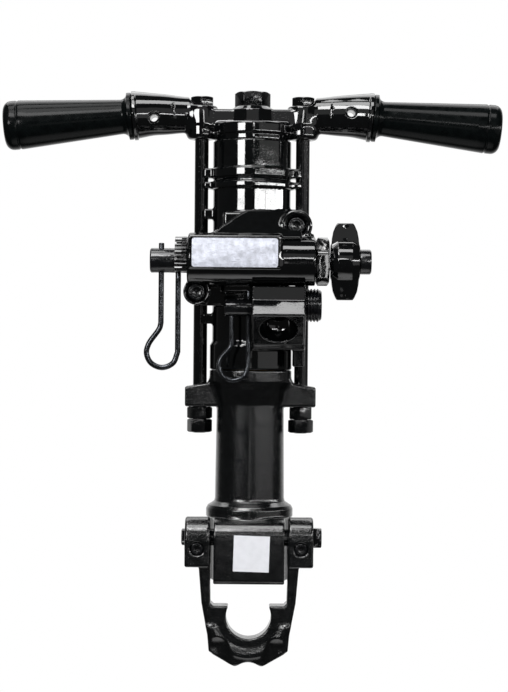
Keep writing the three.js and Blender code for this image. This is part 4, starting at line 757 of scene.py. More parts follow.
def net(body, low, high, step):
    """Points and quads of the zero surface of a distance field, by surface nets."""
    n = NET_BLOCK
    low = np.array(low, float)
    blocks = np.ceil((np.array(high, float) - low) / (step * n)).astype(int)
    dims = blocks * n
    half = step * n * math.sqrt(3) / 2
    centre = [low[i] + (np.arange(blocks[i]) + 0.5) * step * n for i in range(3)]
    gx, gy, gz = (g.ravel() for g in np.meshgrid(*centre, indexing="ij"))
    rough = body(gx, gy, gz)
    values = np.empty((len(rough), n ** 3), np.float32)
    values[:] = np.where(rough < 0, -FAR_AWAY, FAR_AWAY)[:, None]
    near = np.flatnonzero(np.abs(rough) < half * 1.3 + 3)
    offs = np.stack([g.ravel() for g in np.meshgrid(*[np.arange(n) * step] * 3, indexing="ij")])
    corner = [g - step * n / 2 for g in (gx, gy, gz)]
    for start in range(0, len(near), NET_BATCH):
        pick = near[start:start + NET_BATCH]
        p = [(corner[i][pick][:, None] + offs[i][None, :]).astype(np.float32) for i in range(3)]
        values[pick] = body(*p)
    grid = values.reshape(*blocks, n, n, n).transpose(0, 3, 1, 4, 2, 5).reshape(*dims)
    inside = grid < 0
    strides = np.array([dims[1] * dims[2], dims[2], 1])
    cells, places, quads, flips = [], [], [], []
    for axis in range(3):
        other = [a for a in range(3) if a != axis]
        first = [slice(None)] * 3
        second = [slice(None)] * 3
        first[axis], second[axis] = slice(0, -1), slice(1, None)
        crossing = np.argwhere(inside[tuple(first)] != inside[tuple(second)])
        crossing = crossing[(crossing[:, other[0]] > 0) & (crossing[:, other[1]] > 0)]
        a = grid[tuple(crossing.T)]
        step_to = crossing.copy()
        step_to[:, axis] += 1
        b = grid[tuple(step_to.T)]
        spot = crossing.astype(float)
        spot[:, axis] += a / (a - b)
        base = crossing @ strides
        around = [base - strides[other[0]] - strides[other[1]], base - strides[other[1]],
                  base, base - strides[other[0]]]
        cells += around
        places += [spot] * 4
        quads.append(np.stack(around, 1))
        flips.append((a < 0) if axis != 1 else (a > 0))
    ids, index = np.unique(np.concatenate(cells), return_inverse=True)
    where = np.concatenate(places)
    count = np.bincount(index)
    points = np.stack([np.bincount(index, where[:, i]) / count for i in range(3)], 1) * step + low
    quads = np.searchsorted(ids, np.concatenate(quads))
    flips = np.concatenate(flips)
    quads[~flips] = quads[~flips][:, ::-1]
    for _ in range(2):
        x, y, z = points.T
        e = SLOPE_STEP
        d = body(x, y, z)
        g = np.stack([body(x + e, y, z) - d, body(x, y + e, z) - d, body(x, y, z + e) - d], 1) / e
        size = np.maximum((g * g).sum(1), LEAST_SLOPE)
        move = -g * (d / size)[:, None]
        length = np.sqrt((move * move).sum(1))[:, None]
        points = points + move * np.minimum(1, LARGEST_MOVE * step / np.maximum(length, 1e-9))
    return points, quads


# Meshes and pieces
FINE_ROUND = 96
SOCKET_ROUND = 72
BAR_ROUND = 64
NUT_ROUND = 48
PIN_ROUND = 32
RIVET_ROUND = 24
ALONG_X = Matrix.Rotation(math.pi / 2, 4, "Y")
TOWARD_FRONT = Matrix.Rotation(math.pi / 2, 4, "X")
CROWN_ANGLE = math.radians(30)
CROWN_INSET = 0.3
WIRE_FACETS = 16
WIRE_END_SHARES = ((0, 0.72), (0.1, 0.92), (0.3, 1))


def body_of_node(node):
    """The moving body that holds a node of the solids."""
    for name, members in frame["record"]["behaviour"]["bodies"].items():
        if node in members:
            return name
    return "root"


def slot_of_node(node):
    for part in frame["record"]["subparts"]:
        if part["node"] == node:
            return part["material_slot"]
    return None


def look_of(node):
    return LOOKS[NODE_LOOK.get(node) or SLOT_LOOK[slot_of_node(node)]]


def settle(obj, node):
    """Puts a finished object in place of a CAD node."""
    obj.data.materials.clear()
    obj.data.materials.append(look_of(node))
    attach(obj, body_of_node(node))
    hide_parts(node)
    return obj


def object_from(name, points, faces):
    mesh = bpy.data.meshes.new(name)
    points = np.asarray(points, float) * MM
    faces = np.asarray(faces)
    mesh.vertices.add(len(points))
    mesh.vertices.foreach_set("co", points.astype(np.float32).ravel())
    width = faces.shape[1]
    mesh.loops.add(faces.size)
    mesh.loops.foreach_set("vertex_index", faces.astype(np.int32).ravel())
    mesh.polygons.add(len(faces))
    mesh.polygons.foreach_set("loop_start", np.arange(0, faces.size, width, dtype=np.int32))
    mesh.polygons.foreach_set("use_smooth", np.full(len(faces), True))
    mesh.update(calc_edges=True)
    return linked(name, mesh)


def casting(name, node, body, low, high, step):
    """Meshes a distance field between two corners, with cells of one step."""
    points, quads = net(body, low, high, step)
    return settle(object_from(name, points, quads), node)


def apply_modifiers(obj):
    """Bakes the modifiers of an object into its mesh."""
    graph = bpy.context.evaluated_depsgraph_get()
    mesh = bpy.data.meshes.new_from_object(obj.evaluated_get(graph))
    obj.modifiers.clear()
    old = obj.data
    obj.data = mesh
    bpy.data.meshes.remove(old)
    return obj


def combine(obj, other, operation):
    bpy.context.view_layer.update()
    step = obj.modifiers.new("combine", "BOOLEAN")
    step.operation, step.solver, step.object = operation, "EXACT", other
    apply_modifiers(obj)
    bpy.data.objects.remove(other)
    return obj


def soften(obj, width, steps, angle=30):
    """Rounds every crease sharper than the angle."""
    mod = obj.modifiers.new("edges", "BEVEL")
    mod.width, mod.segments, mod.limit_method = width * MM, steps, "ANGLE"
    mod.angle_limit = math.radians(angle)
    mod.use_clamp_overlap = True
    apply_modifiers(obj)
    obj.data.shade_smooth()
    return obj


def finished(bm, name):
    bmesh.ops.recalc_face_normals(bm, faces=bm.faces)
    mesh = bpy.data.meshes.new(name)
    bm.to_mesh(mesh)
    bm.free()
    return linked(name, mesh)


def lathe(name, outline, segments):
    """A turned body about Z; the outline is [radius, height], and a radius of 0 closes it."""
    bm = bmesh.new()
    angles = [2 * math.pi * k / segments for k in range(segments)]
    rings = []
    for radius, height in outline:
        r = radius * MM
        circle = [(r * math.cos(a), r * math.sin(a)) for a in angles] if radius else [(0, 0)]
        rings.append([bm.verts.new((x, y, height * MM)) for x, y in circle])
    closed = outline[0][0] > 0
    for a, b in zip(rings, rings[1:] + (rings[:1] if closed else [])):
        if len(a) == 1 and len(b) == 1:
            continue
        for k in range(segments):
            j = (k + 1) % segments
            ring = [a[k % len(a)], a[j % len(a)], b[j % len(b)], b[k % len(b)]]
            bm.faces.new([v for i, v in enumerate(ring) if v not in ring[:i]])
    return finished(bm, name)


def prism(name, points, low, high):
    """An outline in (x, y) drawn up Z."""
    bm = bmesh.new()
    bottom, top = ([bm.verts.new((u * MM, v * MM, w * MM)) for u, v in points] for w in (low, high))
    bm.faces.new(bottom)
    bm.faces.new(top)
    for k in range(len(points)):
        j = (k + 1) % len(points)
        bm.faces.new([bottom[k], bottom[j], top[j], top[k]])
    return finished(bm, name)


def hex_points(flats, turn):
    radius = flats / 2 / math.cos(math.pi / 6)
    angles = [turn + math.pi * k / 3 for k in range(6)]
    return [(radius * math.cos(a), radius * math.sin(a)) for a in angles]


def hexagon(name, flats, low, high, both_ends, turn=0.0):
    """A hexagon whose corners are turned off at the top, or at both ends."""
    obj = prism(name, hex_points(flats, turn), low, high)
    reach = flats / 2 / math.cos(math.pi / 6) + 1
    face = flats / 2 - CROWN_INSET
    drop = (reach - face) * math.tan(CROWN_ANGLE)
    foot = [(0, low), (face, low), (reach, low + drop)] if both_ends else [(0, low - 1), (reach, low - 1)]
    outline = foot + [(reach, high - drop), (face, high), (0, high)]
    return combine(obj, lathe(name + "_turn", outline, FINE_ROUND), "INTERSECT")


def place(obj, x=0, y=0, z=0, turn=None):
    move = Matrix.Translation((x * MM, y * MM, z * MM))
    obj.data.transform(move @ turn if turn else move)
    return obj


def tube_along(name, path, radius):
    """A round wire along a list of points, with softly rounded ends."""
    pts = np.array(path, float)
    tangent = np.gradient(pts, axis=0)
    tangent /= np.linalg.norm(tangent, axis=1)[:, None]
    normal = np.cross(tangent[0], [0, 1, 0])
    around = WIRE_FACETS
    angles = 2 * np.pi * np.arange(around) / around
    rings = []
    for i, (p, t) in enumerate(zip(pts, tangent)):
        normal = normal - t * (normal @ t)
        normal /= np.linalg.norm(normal)
        circle = np.cos(angles)[:, None] * normal + np.sin(angles)[:, None] * np.cross(t, normal)
        stations = [(0, 1)]
        if i == 0:
            stations = WIRE_END_SHARES
        elif i == len(pts) - 1:
            stations = [(-inward, size) for inward, size in reversed(WIRE_END_SHARES)]
        rings += [p + t * radius * inward + radius * size * circle for inward, size in stations]
    bm = bmesh.new()
    made = [[bm.verts.new(Vector(v * MM)) for v in ring] for ring in rings]
    for a, b in zip(made, made[1:]):
        for k in range(around):
            j = (k + 1) % around
            bm.faces.new([a[k], a[j], b[j], b[k]])
    bm.faces.new(made[0])
    bm.faces.new(made[-1])
    obj = finished(bm, name)
    obj.data.shade_smooth()
    return obj


def catmull(control, steps):
    """A centripetal spline through the control points."""
    pts = [np.array(p, float) for p in control]
    pts = [2 * pts[0] - pts[1]] + pts + [2 * pts[-1] - pts[-2]]
    out = [tuple(pts[1])]
    for p0, p1, p2, p3 in zip(pts, pts[1:], pts[2:], pts[3:]):
        d0, d1, d2 = (np.linalg.norm(b - a) ** 0.5 for a, b in ((p0, p1), (p1, p2), (p2, p3)))
        m1 = ((p1 - p0) / d0 - (p2 - p0) / (d0 + d1) + (p2 - p1) / d1) * d1
        m2 = ((p2 - p1) / d1 - (p3 - p1) / (d1 + d2) + (p3 - p2) / d2) * d1
        for k in range(1, steps + 1):
            t = k / steps
            start = (2 * t ** 3 - 3 * t ** 2 + 1) * p1 + (t ** 3 - 2 * t ** 2 + t) * m1
            out.append(tuple(start + (-2 * t ** 3 + 3 * t ** 2) * p2 + (t ** 3 - t ** 2) * m2))
    return out


# Materials
PATCH_SCALE = 150
PATCH_RANGE = (0.35, 0.65)
PIT_RANGE = (0.34, 0.5)


def coated(name, colour, rough, rough_spread, grain, grain_scale, waves, waves_scale, metallic=0.0,
           level=0.5, mottle=0.25):
    """Paint, plastic or metal with grain, slow waves and patches of roughness and tone."""
    look = bpy.data.materials.new(name)
    look.use_nodes = True
    add, link = nodes_of(look.node_tree)
    shader = add("ShaderNodeBsdfPrincipled", (300, 0))
    link(shader.outputs[0], add("ShaderNodeOutputMaterial", (600, 0)).inputs["Surface"])
    shader.inputs["Metallic"].default_value = metallic
    shader.inputs["Specular IOR Level"].default_value = level
    at = add("ShaderNodeTexCoord", (-1200, 0))

    def noise(scale, detail, spot):
        node = add("ShaderNodeTexNoise", spot)
        node.inputs["Scale"].default_value = scale
        node.inputs["Detail"].default_value = detail
        link(at.outputs["Object"], node.inputs["Vector"])
        return node

    def spread(source, low, high, spot, **values):
        node = add("ShaderNodeMapRange", spot, **values)
        node.inputs["From Min"].default_value = low
        node.inputs["From Max"].default_value = high
        link(source.outputs["Fac"], node.inputs["Value"])
        return node

    def bump(height, distance, spot):
        node = add("ShaderNodeBump", spot)
        node.inputs["Distance"].default_value = distance * MM
        link(height, node.inputs["Height"])
        return node

    patches = noise(PATCH_SCALE, 5, (-900, 200))
    sheen = spread(patches, *PATCH_RANGE, (-600, 200))
    sheen.inputs["To Min"].default_value = max(rough - rough_spread, 0.02)
    sheen.inputs["To Max"].default_value = rough + rough_spread
    link(sheen.outputs["Result"], shader.inputs["Roughness"])
    tone = add("ShaderNodeMix", (-300, 400), data_type="RGBA")
    tone.inputs[6].default_value = (*[c * (1 - mottle) for c in colour], 1)
    tone.inputs[7].default_value = (*[min(1, c * (1 + mottle)) for c in colour], 1)
    link(spread(patches, *PATCH_RANGE, (-600, 420)).outputs["Result"], tone.inputs["Factor"])
    link(tone.outputs[2], shader.inputs["Base Color"])
    fine = noise(grain_scale, 3, (-900, -200))
    fine.inputs["Roughness"].default_value = 0.6
    pits = spread(fine, *PIT_RANGE, (-600, -200), interpolation_type="SMOOTHSTEP")
    grained = bump(pits.outputs["Result"], grain, (-300, -200))
    waved = bump(noise(waves_scale, 1, (-900, -500)).outputs["Fac"], waves, (0, -300))
    link(grained.outputs[0], waved.inputs["Normal"])
    link(waved.outputs[0], shader.inputs["Normal"])
    return look


BLACK_PAINT = (0.0013, 0.0016, 0.0018)
# Each look: name, colour, roughness and its spread, then height and scale of the grain and of the waves
LOOKS = {
    "paint": coated("gloss_black_paint", BLACK_PAINT, 0.04, 0.02, 0.004, 850, 0.1, 60, level=1.0),
    "rough": coated("satin_cast_paint", (0.0020, 0.0024, 0.0027), 0.15, 0.05, 0.035, 900, 0.15, 70, level=1),
    "bolt": coated("painted_steel", BLACK_PAINT, 0.07, 0.03, 0.02, 800, 0.2, 90, level=1.0),
    "steel": coated("black_steel", (0.006, 0.0065, 0.0075), 0.12, 0.05, 0.02, 900, 0.2, 120, 0.2, level=0.9),
    "grip": coated("moulded_grip", (0.0022, 0.003, 0.0031), 0.16, 0.04, 0.006, 900, 0.1, 35, level=0.12),
    "spring": coated("spring_wire", (0.06, 0.064, 0.07), 0.18, 0.06, 0.02, 900, 0.2, 120, 0.9),
    "plate": coated("bare_plate", (0.62, 0.64, 0.72), 0.42, 0.1, 0.25, 600, 0.3, 90, 0.1, mottle=0.18),
    "label": coated("blank_film", (0.80, 0.81, 0.85), 0.5, 0.1, 0.03, 900, 0.1, 90, mottle=0.03),
    "inner": coated("ground_steel", (0.35, 0.36, 0.38), 0.3, 0.06, 0.06, 900, 0.2, 90, 1.0),
    "bronze": coated("bronze", (0.42, 0.27, 0.10), 0.34, 0.06, 0.06, 900, 0.2, 90, 1.0),
    "rubber": coated("seal_rubber", (0.012, 0.012, 0.012), 0.6, 0.1, 0.1, 900, 0.2, 90),
}
SLOT_LOOK = {
    "painted_casting": "paint", "rough_casting": "rough", "painted_fastener": "bolt", "black_steel": "steel",
    "grip_plastic": "grip", "spring_wire": "spring", "plate_aluminium": "plate", "label_white": "label",
    "machined_steel": "inner", "bronze": "bronze", "seal_rubber": "rubber",
}
# These pieces are glossier than the rest of their slot
NODE_LOOK = {
    "control_block": "paint", "throttle_knob": "paint", "serrated_collar": "paint", "gland_nut": "bolt",
}


def dress_cad():
    """Gives every solid the look of its node."""
    for node, obj in NODES.items():
        obj.data.materials.clear()
        obj.data.materials.append(look_of(node))


# Places that follow from the sizes
SIDES = ((1, "right"), (-1, "left"))
SPIGOT_BOTTOM = HOUSING_BOTTOM + RATCHET_RING_HEIGHT + SPIGOT_GAP_BELOW
ARM_SPAN = ARM_MOUTH_OFFSET - BOLT_OFFSET
BLOCK_TOP = BARREL_HEIGHT + BLOCK_TOP_LIFT
BLOCK_BOTTOM = BARREL_HEIGHT - BLOCK_BOTTOM_DROP
FACE_TOP = BARREL_HEIGHT + FACE_TOP_LIFT
CHEST_BOTTOM = CHEST_TOP - CHEST_HEIGHT
CHEST_RIGHT = CHEST_LEFT + CHEST_WIDTH
NIPPLE_HEIGHT = CHEST_TOP - NIPPLE_DROP
LOWER_SOCKET_HEIGHT = CHEST_TOP - LOWER_SOCKET_DROP
HEAD_SEAT = BOSS_FACE_DEPTH - SCREW_SINK - SCREW_HEAD_HEIGHT
BARREL_AXIS = (-BARREL_DEPTH, BARREL_HEIGHT)
BARREL_SEAT = BARREL_HALF_LENGTH + SEAT_GAP
GLAND_END = BARREL_SEAT + GLAND_WIDTH
KNOB_START = GLAND_END + KNOB_GAP
KNOB_END = KNOB_START + KNOB_WIDTH
PORT_END = -BARREL_SEAT - PORT_SOCKET_LENGTH
CLIP_PIN = PORT_END + CLIP_PIN_INSET
SHORT_PIN = CHEST_LEFT - SEAT_GAP - SHORT_PIN_INSET
HINGE_AXIS = (-HINGE_DEPTH, HINGE_HEIGHT)
YOKE_FACE = HINGE_DEPTH + YOKE_BOSS_RADIUS
SCREWS = {
    "cap_screw_upper": (UPPER_BOSS_X, BARREL_HEIGHT + UPPER_BOSS_LIFT, UPPER_BOSS_RADIUS),
    "cap_screw_lower": (-LOWER_BOSS_X, BARREL_HEIGHT - LOWER_BOSS_DROP, LOWER_BOSS_RADIUS),
}

# Cutting tools run past the faces that they cut, and wide ones reach beyond the whole casting
PAST = 4
ROOM = 80
HOLE_EDGE = 0.6
CAST_EDGE = 0.7
TURNED_EDGE = 1
FACET_TURN = math.pi / 6


def both_sides(right):
    """An outline closed by its mirror image."""
    return right + [(-x, z) for x, z in reversed(right)]


def bar(name, radius, low, high, segments):
    """A plain round bar along Z, also used as a drill."""
    return lathe(name, [(0, low), (radius, low), (radius, high), (0, high)], segments)


def shank(name, radius, edge, low, high):
    """A round bar with a chamfer at its foot."""
    outline = [(0, low), (radius - edge, low), (radius, low + edge), (radius, high), (0, high)]
    return lathe(name, outline, BAR_ROUND)


def hex_socket(flats, depth, top):
    return prism("socket", hex_points(flats, FACET_TURN), top - depth, top + PAST)


def on_barrel(obj):
    """Lays a turned part along the barrel of the control block."""
    return place(obj, 0, -BARREL_DEPTH, BARREL_HEIGHT, ALONG_X)


# Guide ears for the side bolts, on the cylinder and on the ratchet housing
EAR_ROUND = 1.6
EAR_CORNER_SHARE = 0.8
EAR_BURIED = 6


def bolt_hole(low, high, x=BOLT_OFFSET):
    return rod(BOLT_HOLE_RADIUS, low - PAST, high + PAST, "z", (x, 0))


def ear(low, high, *tools):
    """The right guide ear with its bolt hole."""
    corner = EAR_CORNER_SHARE * EAR_CORNER
    side = [(EAR_ROOT - EAR_BURIED, -EAR_HALF_DEPTH), (EAR_REACH - corner, -EAR_HALF_DEPTH),
            (EAR_REACH, corner - EAR_HALF_DEPTH)]
    body = slab(side + [(x, -y) for x, y in reversed(side)], low, high, "z", EAR_ROUND)
    return cut(HOLE_EDGE, body, bolt_hole(low, high), *tools)


# Backhead with its two handle arms
ARM_MOUTH_INSET = 0.4
ARM_SMOOTHING = (-8, -4, 0, 4, 8)
ARM_BLEND = 3.5
LIP_ROUND = 0.6
SMALL_ROUND = 0.8
BOSS_ROUND = 1.6
BOSS_FOOT_ROUND = 4.5
BOSS_FOOT_HEIGHT = 14
BOSS_BLEND = 2
RIDGE_SLOPE = 1
RIDGE_ROUND = 3.2
BACKHEAD_ROUND = 0.9
BACKHEAD_BLEND = 3
PIN_HOLE_REACH = 40


def arm(x, y, z):
    """The right handle arm, from the bolt boss to the slanted mouth."""
    share, size, rise = np.array(ARM_SWELL_SHARES).T
    stations = BOLT_OFFSET + ARM_SPAN * share

    def at(values):
        return sum(np.interp(x + shift, stations, values) for shift in ARM_SMOOTHING) / len(ARM_SMOOTHING)

    half_y = at(ARM_ROOT_HALF_DEPTH + (ARM_MOUTH_RADIUS - ARM_ROOT_HALF_DEPTH) * size)
    half_z = at(ARM_ROOT_HALF_HEIGHT + (ARM_MOUTH_RADIUS - ARM_ROOT_HALF_HEIGHT) * size)
    q = np.sqrt((y / half_y) ** 2 + ((z - ARM_AXIS_HEIGHT - at(ARM_RISE * rise)) / half_z) ** 2)
    out = (q - 1) * np.minimum(half_y, half_z)
    u = (x - ARM_MOUTH_OFFSET) * math.cos(GRIP_DROOP) - (z - ARM_AXIS_HEIGHT) * math.sin(GRIP_DROOP)
    return np.maximum(out, np.maximum(u + ARM_MOUTH_INSET, BOLT_OFFSET - PAST - x))


def along_grip(u):
    """A point on the axis of the right grip, u outward from the mouth of the arm."""
    return (ARM_MOUTH_OFFSET + u * math.cos(GRIP_DROOP), 0, ARM_AXIS_HEIGHT - u * math.sin(GRIP_DROOP))


def backhead():
    neck_top = BACKHEAD_BOTTOM + NECK_HEIGHT
    core = turned([
        (0, BACKHEAD_BOTTOM), (NECK_RADIUS, BACKHEAD_BOTTOM), (NECK_RADIUS, neck_top - FLANGE_EDGE),
        (FLANGE_RADIUS, neck_top), (FLANGE_RADIUS, FLANGE_TOP - FLANGE_EDGE),
        (FLANGE_RADIUS - FLANGE_EDGE, FLANGE_TOP),
        (HUB_FOOT_RADIUS + TURNED_EDGE, FLANGE_TOP + FLANGE_EDGE / 2),
        (HUB_FOOT_RADIUS, HUB_TOP - HUB_CHAMFER_HEIGHT), (HUB_RADIUS, HUB_TOP), (0, HUB_TOP),
    ], BACKHEAD_ROUND)
    spigot = rod(SPIGOT_RADIUS, SPIGOT_BOTTOM, BACKHEAD_BOTTOM + PAST, r=SMALL_ROUND)
    at = (BOLT_OFFSET, 0)
    boss = union(BOSS_BLEND, *[rod(BOSS_RADIUS, BOLT_BOSS_BOTTOM + lift, BOLT_BOSS_TOP, "z", at, r)
                               for lift, r in ((0, BOSS_FOOT_ROUND), (BOSS_FOOT_HEIGHT, BOSS_ROUND))])
    ridge_foot = FLANGE_TOP - FLANGE_THICKNESS / 2
    ridge_face = (RIDGE_HALF_DEPTH + RIDGE_TOP_HALF_DEPTH) / 2
    ridge = slab([(-ridge_face - RIDGE_SLOPE, ridge_foot), (-ridge_face, FLANGE_TOP + RIDGE_HEIGHT),
                  (ridge_face, FLANGE_TOP + RIDGE_HEIGHT), (ridge_face + RIDGE_SLOPE, ridge_foot)],
                 -BOLT_OFFSET, BOLT_OFFSET, "x", RIDGE_ROUND)
    lip = rod_between(along_grip(-ARM_LIP_LENGTH), along_grip(0), ARM_MOUTH_RADIUS, LIP_ROUND)
    bore = rod_between(along_grip(OVERRUN), along_grip(-SOCKET_DEPTH), SOCKET_RADIUS)
    side = cut(SMALL_ROUND, union(ARM_BLEND, boss, union(SMALL_ROUND, arm, lip)), bore,
               bolt_hole(BOLT_BOSS_BOTTOM, BOLT_BOSS_TOP))
    tools = [rod(PLUG_SHANK_RADIUS + SEAT_GAP, HUB_TOP - PLUG_SHANK_LENGTH, HUB_TOP + PAST),
             rod(SEAL_RADIUS + SEAT_GAP, BACKHEAD_BOTTOM, HUB_TOP),
             rod(WATER_TUBE_HOLE, SPIGOT_BOTTOM - PAST, HUB_TOP)]
    for sign, _ in SIDES:
        pin_at = (sign * CROSS_PIN_OFFSET, ARM_AXIS_HEIGHT + sign * CROSS_PIN_SHIFT)
        bolt_at = (sign * BOLT_OFFSET, 0)
        tools += [rod(CROSS_PIN_RADIUS + SEAT_GAP, -PIN_HOLE_REACH, PIN_HOLE_REACH, "y", pin_at),
                  rod(BOLT_SPOT_RADIUS, BOLT_BOSS_TOP, BOLT_BOSS_TOP + BOLT_SPOT_HEIGHT, "z", bolt_at),
                  bolt_hole(BOLT_BOSS_BOTTOM, BOLT_BOSS_TOP, sign * BOLT_OFFSET)]
    body = cast(union(BACKHEAD_BLEND, core, ridge, mirror(side)), size=0.05, scale=9, seed=1)
    casting("backhead_casting", "backhead", cut(CAST_EDGE, union(0.5, body, spigot), *tools),
            low=(-127, -42, SPIGOT_BOTTOM - 2), high=(127, 42, ARM_AXIS_HEIGHT + 30), step=0.8)


# Ratchet housing
HOUSING_FLANGE_SLOPES = (0.4, 0.8, 1.2)
HOUSING_BLEND = 1.6


def ratchet_housing():
    inner = RATCHET_RING_RADIUS + SEAT_GAP
    throat = SPIGOT_RADIUS + SEAT_GAP
    shelf = HOUSING_BOTTOM + RATCHET_RING_HEIGHT + SEAT_GAP
    flange = HOUSING_BOTTOM + HOUSING_FLANGE_LIFT
    flange_top = flange + HOUSING_FLANGE_HEIGHT
    foot, lower, upper = HOUSING_FLANGE_SLOPES
    shell = turned([
        (inner, HOUSING_BOTTOM), (HOUSING_RADIUS, HOUSING_BOTTOM), (HOUSING_RADIUS, flange - foot),
        (HOUSING_FLANGE_RADIUS, flange + lower), (HOUSING_FLANGE_RADIUS, flange_top - upper),
        (HOUSING_RADIUS, flange_top), (HOUSING_RADIUS, HOUSING_TOP), (throat, HOUSING_TOP), (throat, shelf),
        (inner, shelf),
    ], HOLE_EDGE)
    ears = ear(flange, flange_top, rod(inner, flange - PAST, flange_top + PAST))
    body = cast(union(HOUSING_BLEND, shell, mirror(ears)), size=0.04, scale=9, seed=2)
    casting("ratchet_housing_casting", "ratchet_housing", body,
            low=(-56, -46, HOUSING_BOTTOM - 4), high=(56, 46, HOUSING_TOP + 4), step=0.8)


# Cylinder with its air chest
CYLINDER_ROUND = 0.7
CYLINDER_BLEND = 2.6
CHEST_ROUND = 1.5
BROW_EDGE_DEPTH = 1.4
BROW_FACE_DEPTH = 3.8
PAD_ROUND = 3
TAIL_ROUND = 2
LUG_ROUND = 1.2
LUG_BLEND = 1.5
BORE_STOP = 10
EXHAUST_OUTSIDE = 6
POCKET_EDGE = 1.5


def exhaust_well():
    """The slanted exhaust pocket: a bowl with the port in its floor."""
    nose = np.array([0, -CHEST_NOSE_DEPTH, CHEST_TOP - CHEST_NOSE_DROP])
    foot = np.array([0, -CHEST_FOOT_DEPTH, CHEST_BOTTOM + CHEST_FOOT_RISE])
    centre = (nose + foot) / 2 + np.array([CHEST_LEFT + CHEST_WIDTH / 2, 0, 0])
    slope = math.atan2(foot[2] - nose[2], foot[1] - nose[1])
    inward = np.array([0, -math.sin(slope), math.cos(slope)])
    bowl = EXHAUST_THROAT_DEPTH - EXHAUST_RADIUS
    pocket = stick(centre - inward * EXHAUST_OUTSIDE, centre + inward * bowl, EXHAUST_RADIUS, EXHAUST_RADIUS)
    port = rod_between(centre, centre + inward * CHEST_NOSE_DEPTH, EXHAUST_PORT_RADIUS)
    return union(POCKET_EDGE, pocket, port)


def screw_lug(x, z, r):
    """The lug behind a cap screw, joined to the pad by a web."""
    low, high = SEAT_GAP - BOSS_BACK_DEPTH, -LUG_BACK_DEPTH
    root = math.copysign(LUG_ROOT_OFFSET, x)
    web = block((min(x, root), low, z - r), (max(x, root), high, z + r), LUG_ROUND)
    return union(LUG_BLEND, rod(r, low, high, "y", (x, z), LUG_ROUND), web)


def cylinder():
    flange_top = CYLINDER_TOP - CYLINDER_FLANGE_DROP
    flange = flange_top - CYLINDER_FLANGE_HEIGHT
    waist = CYLINDER_BOTTOM + WAIST_HEIGHT
    shell = turned([
        (0, CYLINDER_BOTTOM), (WAIST_RADIUS - TURNED_EDGE, CYLINDER_BOTTOM),
        (WAIST_RADIUS, CYLINDER_BOTTOM + TURNED_EDGE), (WAIST_RADIUS, waist - WAIST_CHAMFER),
        (CYLINDER_RADIUS, waist), (CYLINDER_RADIUS, flange - TURNED_EDGE), (CYLINDER_FLANGE_RADIUS, flange),
        (CYLINDER_FLANGE_RADIUS, flange_top - TURNED_EDGE),
        (CYLINDER_RADIUS, flange_top), (CYLINDER_RADIUS, CYLINDER_TOP), (0, CYLINDER_TOP),
    ], CYLINDER_ROUND)
    lower_ear, upper_ear = CYLINDER_BOTTOM + LOWER_EAR_LIFT, CYLINDER_TOP - UPPER_EAR_DROP
    ears = union(0, ear(flange, flange_top),
                 *[ear(foot, foot + EAR_BAND_HEIGHT) for foot in (upper_ear, lower_ear)])
    pad = block((-PAD_HALF_WIDTH, -PAD_FRONT, PAD_TOP - PAD_HEIGHT), (PAD_HALF_WIDTH, 0, PAD_TOP), PAD_ROUND)
    chest = slab([
        (-CHEST_BACK, CHEST_TOP), (-CHEST_BROW_DEPTH - BROW_EDGE_DEPTH, CHEST_TOP),
        (-CHEST_BROW_DEPTH - BROW_FACE_DEPTH, CHEST_TOP - CHEST_BROW_DROP),
        (-CHEST_NOSE_DEPTH, CHEST_TOP - CHEST_NOSE_DROP), (-CHEST_FOOT_DEPTH, CHEST_BOTTOM + CHEST_FOOT_RISE),
        (-CHEST_FOOT_DEPTH, CHEST_BOTTOM), (-CHEST_BACK, CHEST_BOTTOM),
    ], CHEST_LEFT, CHEST_RIGHT, "x", CHEST_ROUND)
    tail = block((CHEST_RIGHT - TAIL_WIDTH, -TAIL_DEPTH, CHEST_BOTTOM - TAIL_HEIGHT),
                 (CHEST_RIGHT, -CHEST_BACK, CHEST_BOTTOM + PAST), TAIL_ROUND)
    lugs = [screw_lug(*screw) for screw in SCREWS.values()]
    body = union(CYLINDER_BLEND, shell, mirror(ears), pad, chest, tail, *lugs)
    tools = [
        rod(CYLINDER_BORE, PISTON_SEAT, CYLINDER_TOP - BORE_STOP),
        rod(CYLINDER_BORE, CYLINDER_BOTTOM - PAST, GUIDE_TOP + SEAT_GAP),
        rod(CYLINDER_FLOOR_BORE, GUIDE_TOP - PAST, PISTON_SEAT + PAST),
        rod(VALVE_POCKET_RADIUS, VALVE_SHOULDER, CYLINDER_TOP + PAST),
        exhaust_well(),
        rod(NIPPLE_TAIL_RADIUS + SEAT_GAP, CHEST_RIGHT - NIPPLE_TAIL_LENGTH - SEAT_GAP, CHEST_RIGHT + PAST,
            "x", (-NIPPLE_DEPTH, NIPPLE_HEIGHT)),
        rod(LOWER_SOCKET_TAIL_RADIUS + SEAT_GAP, CHEST_LEFT - PAST,
            CHEST_LEFT + LOWER_SOCKET_TAIL_LENGTH + SEAT_GAP, "x", (-NIPPLE_DEPTH, LOWER_SOCKET_HEIGHT)),
    ]
    for x, z, _ in SCREWS.values():
        tools.append(rod(SCREW_HOLE_RADIUS, -BOSS_FACE_DEPTH, SCREW_LENGTH - BOSS_FACE_DEPTH + SEAT_GAP,
                         "y", (x, z)))
    # the control block sits in front of the pad and above the chest
    for_block = block((-ROOM, -120, CHEST_TOP + 0.2), (ROOM, -PAD_FRONT - 0.1, PAD_TOP + 20))
    done = cast(cut(HOLE_EDGE, cut(0, body, for_block), *tools), size=0.04, scale=10, seed=3)
    casting("cylinder_casting", "cylinder", done,
            low=(-72, -88, CYLINDER_BOTTOM - 3), high=(66, 46, CYLINDER_TOP + 3), step=0.9)


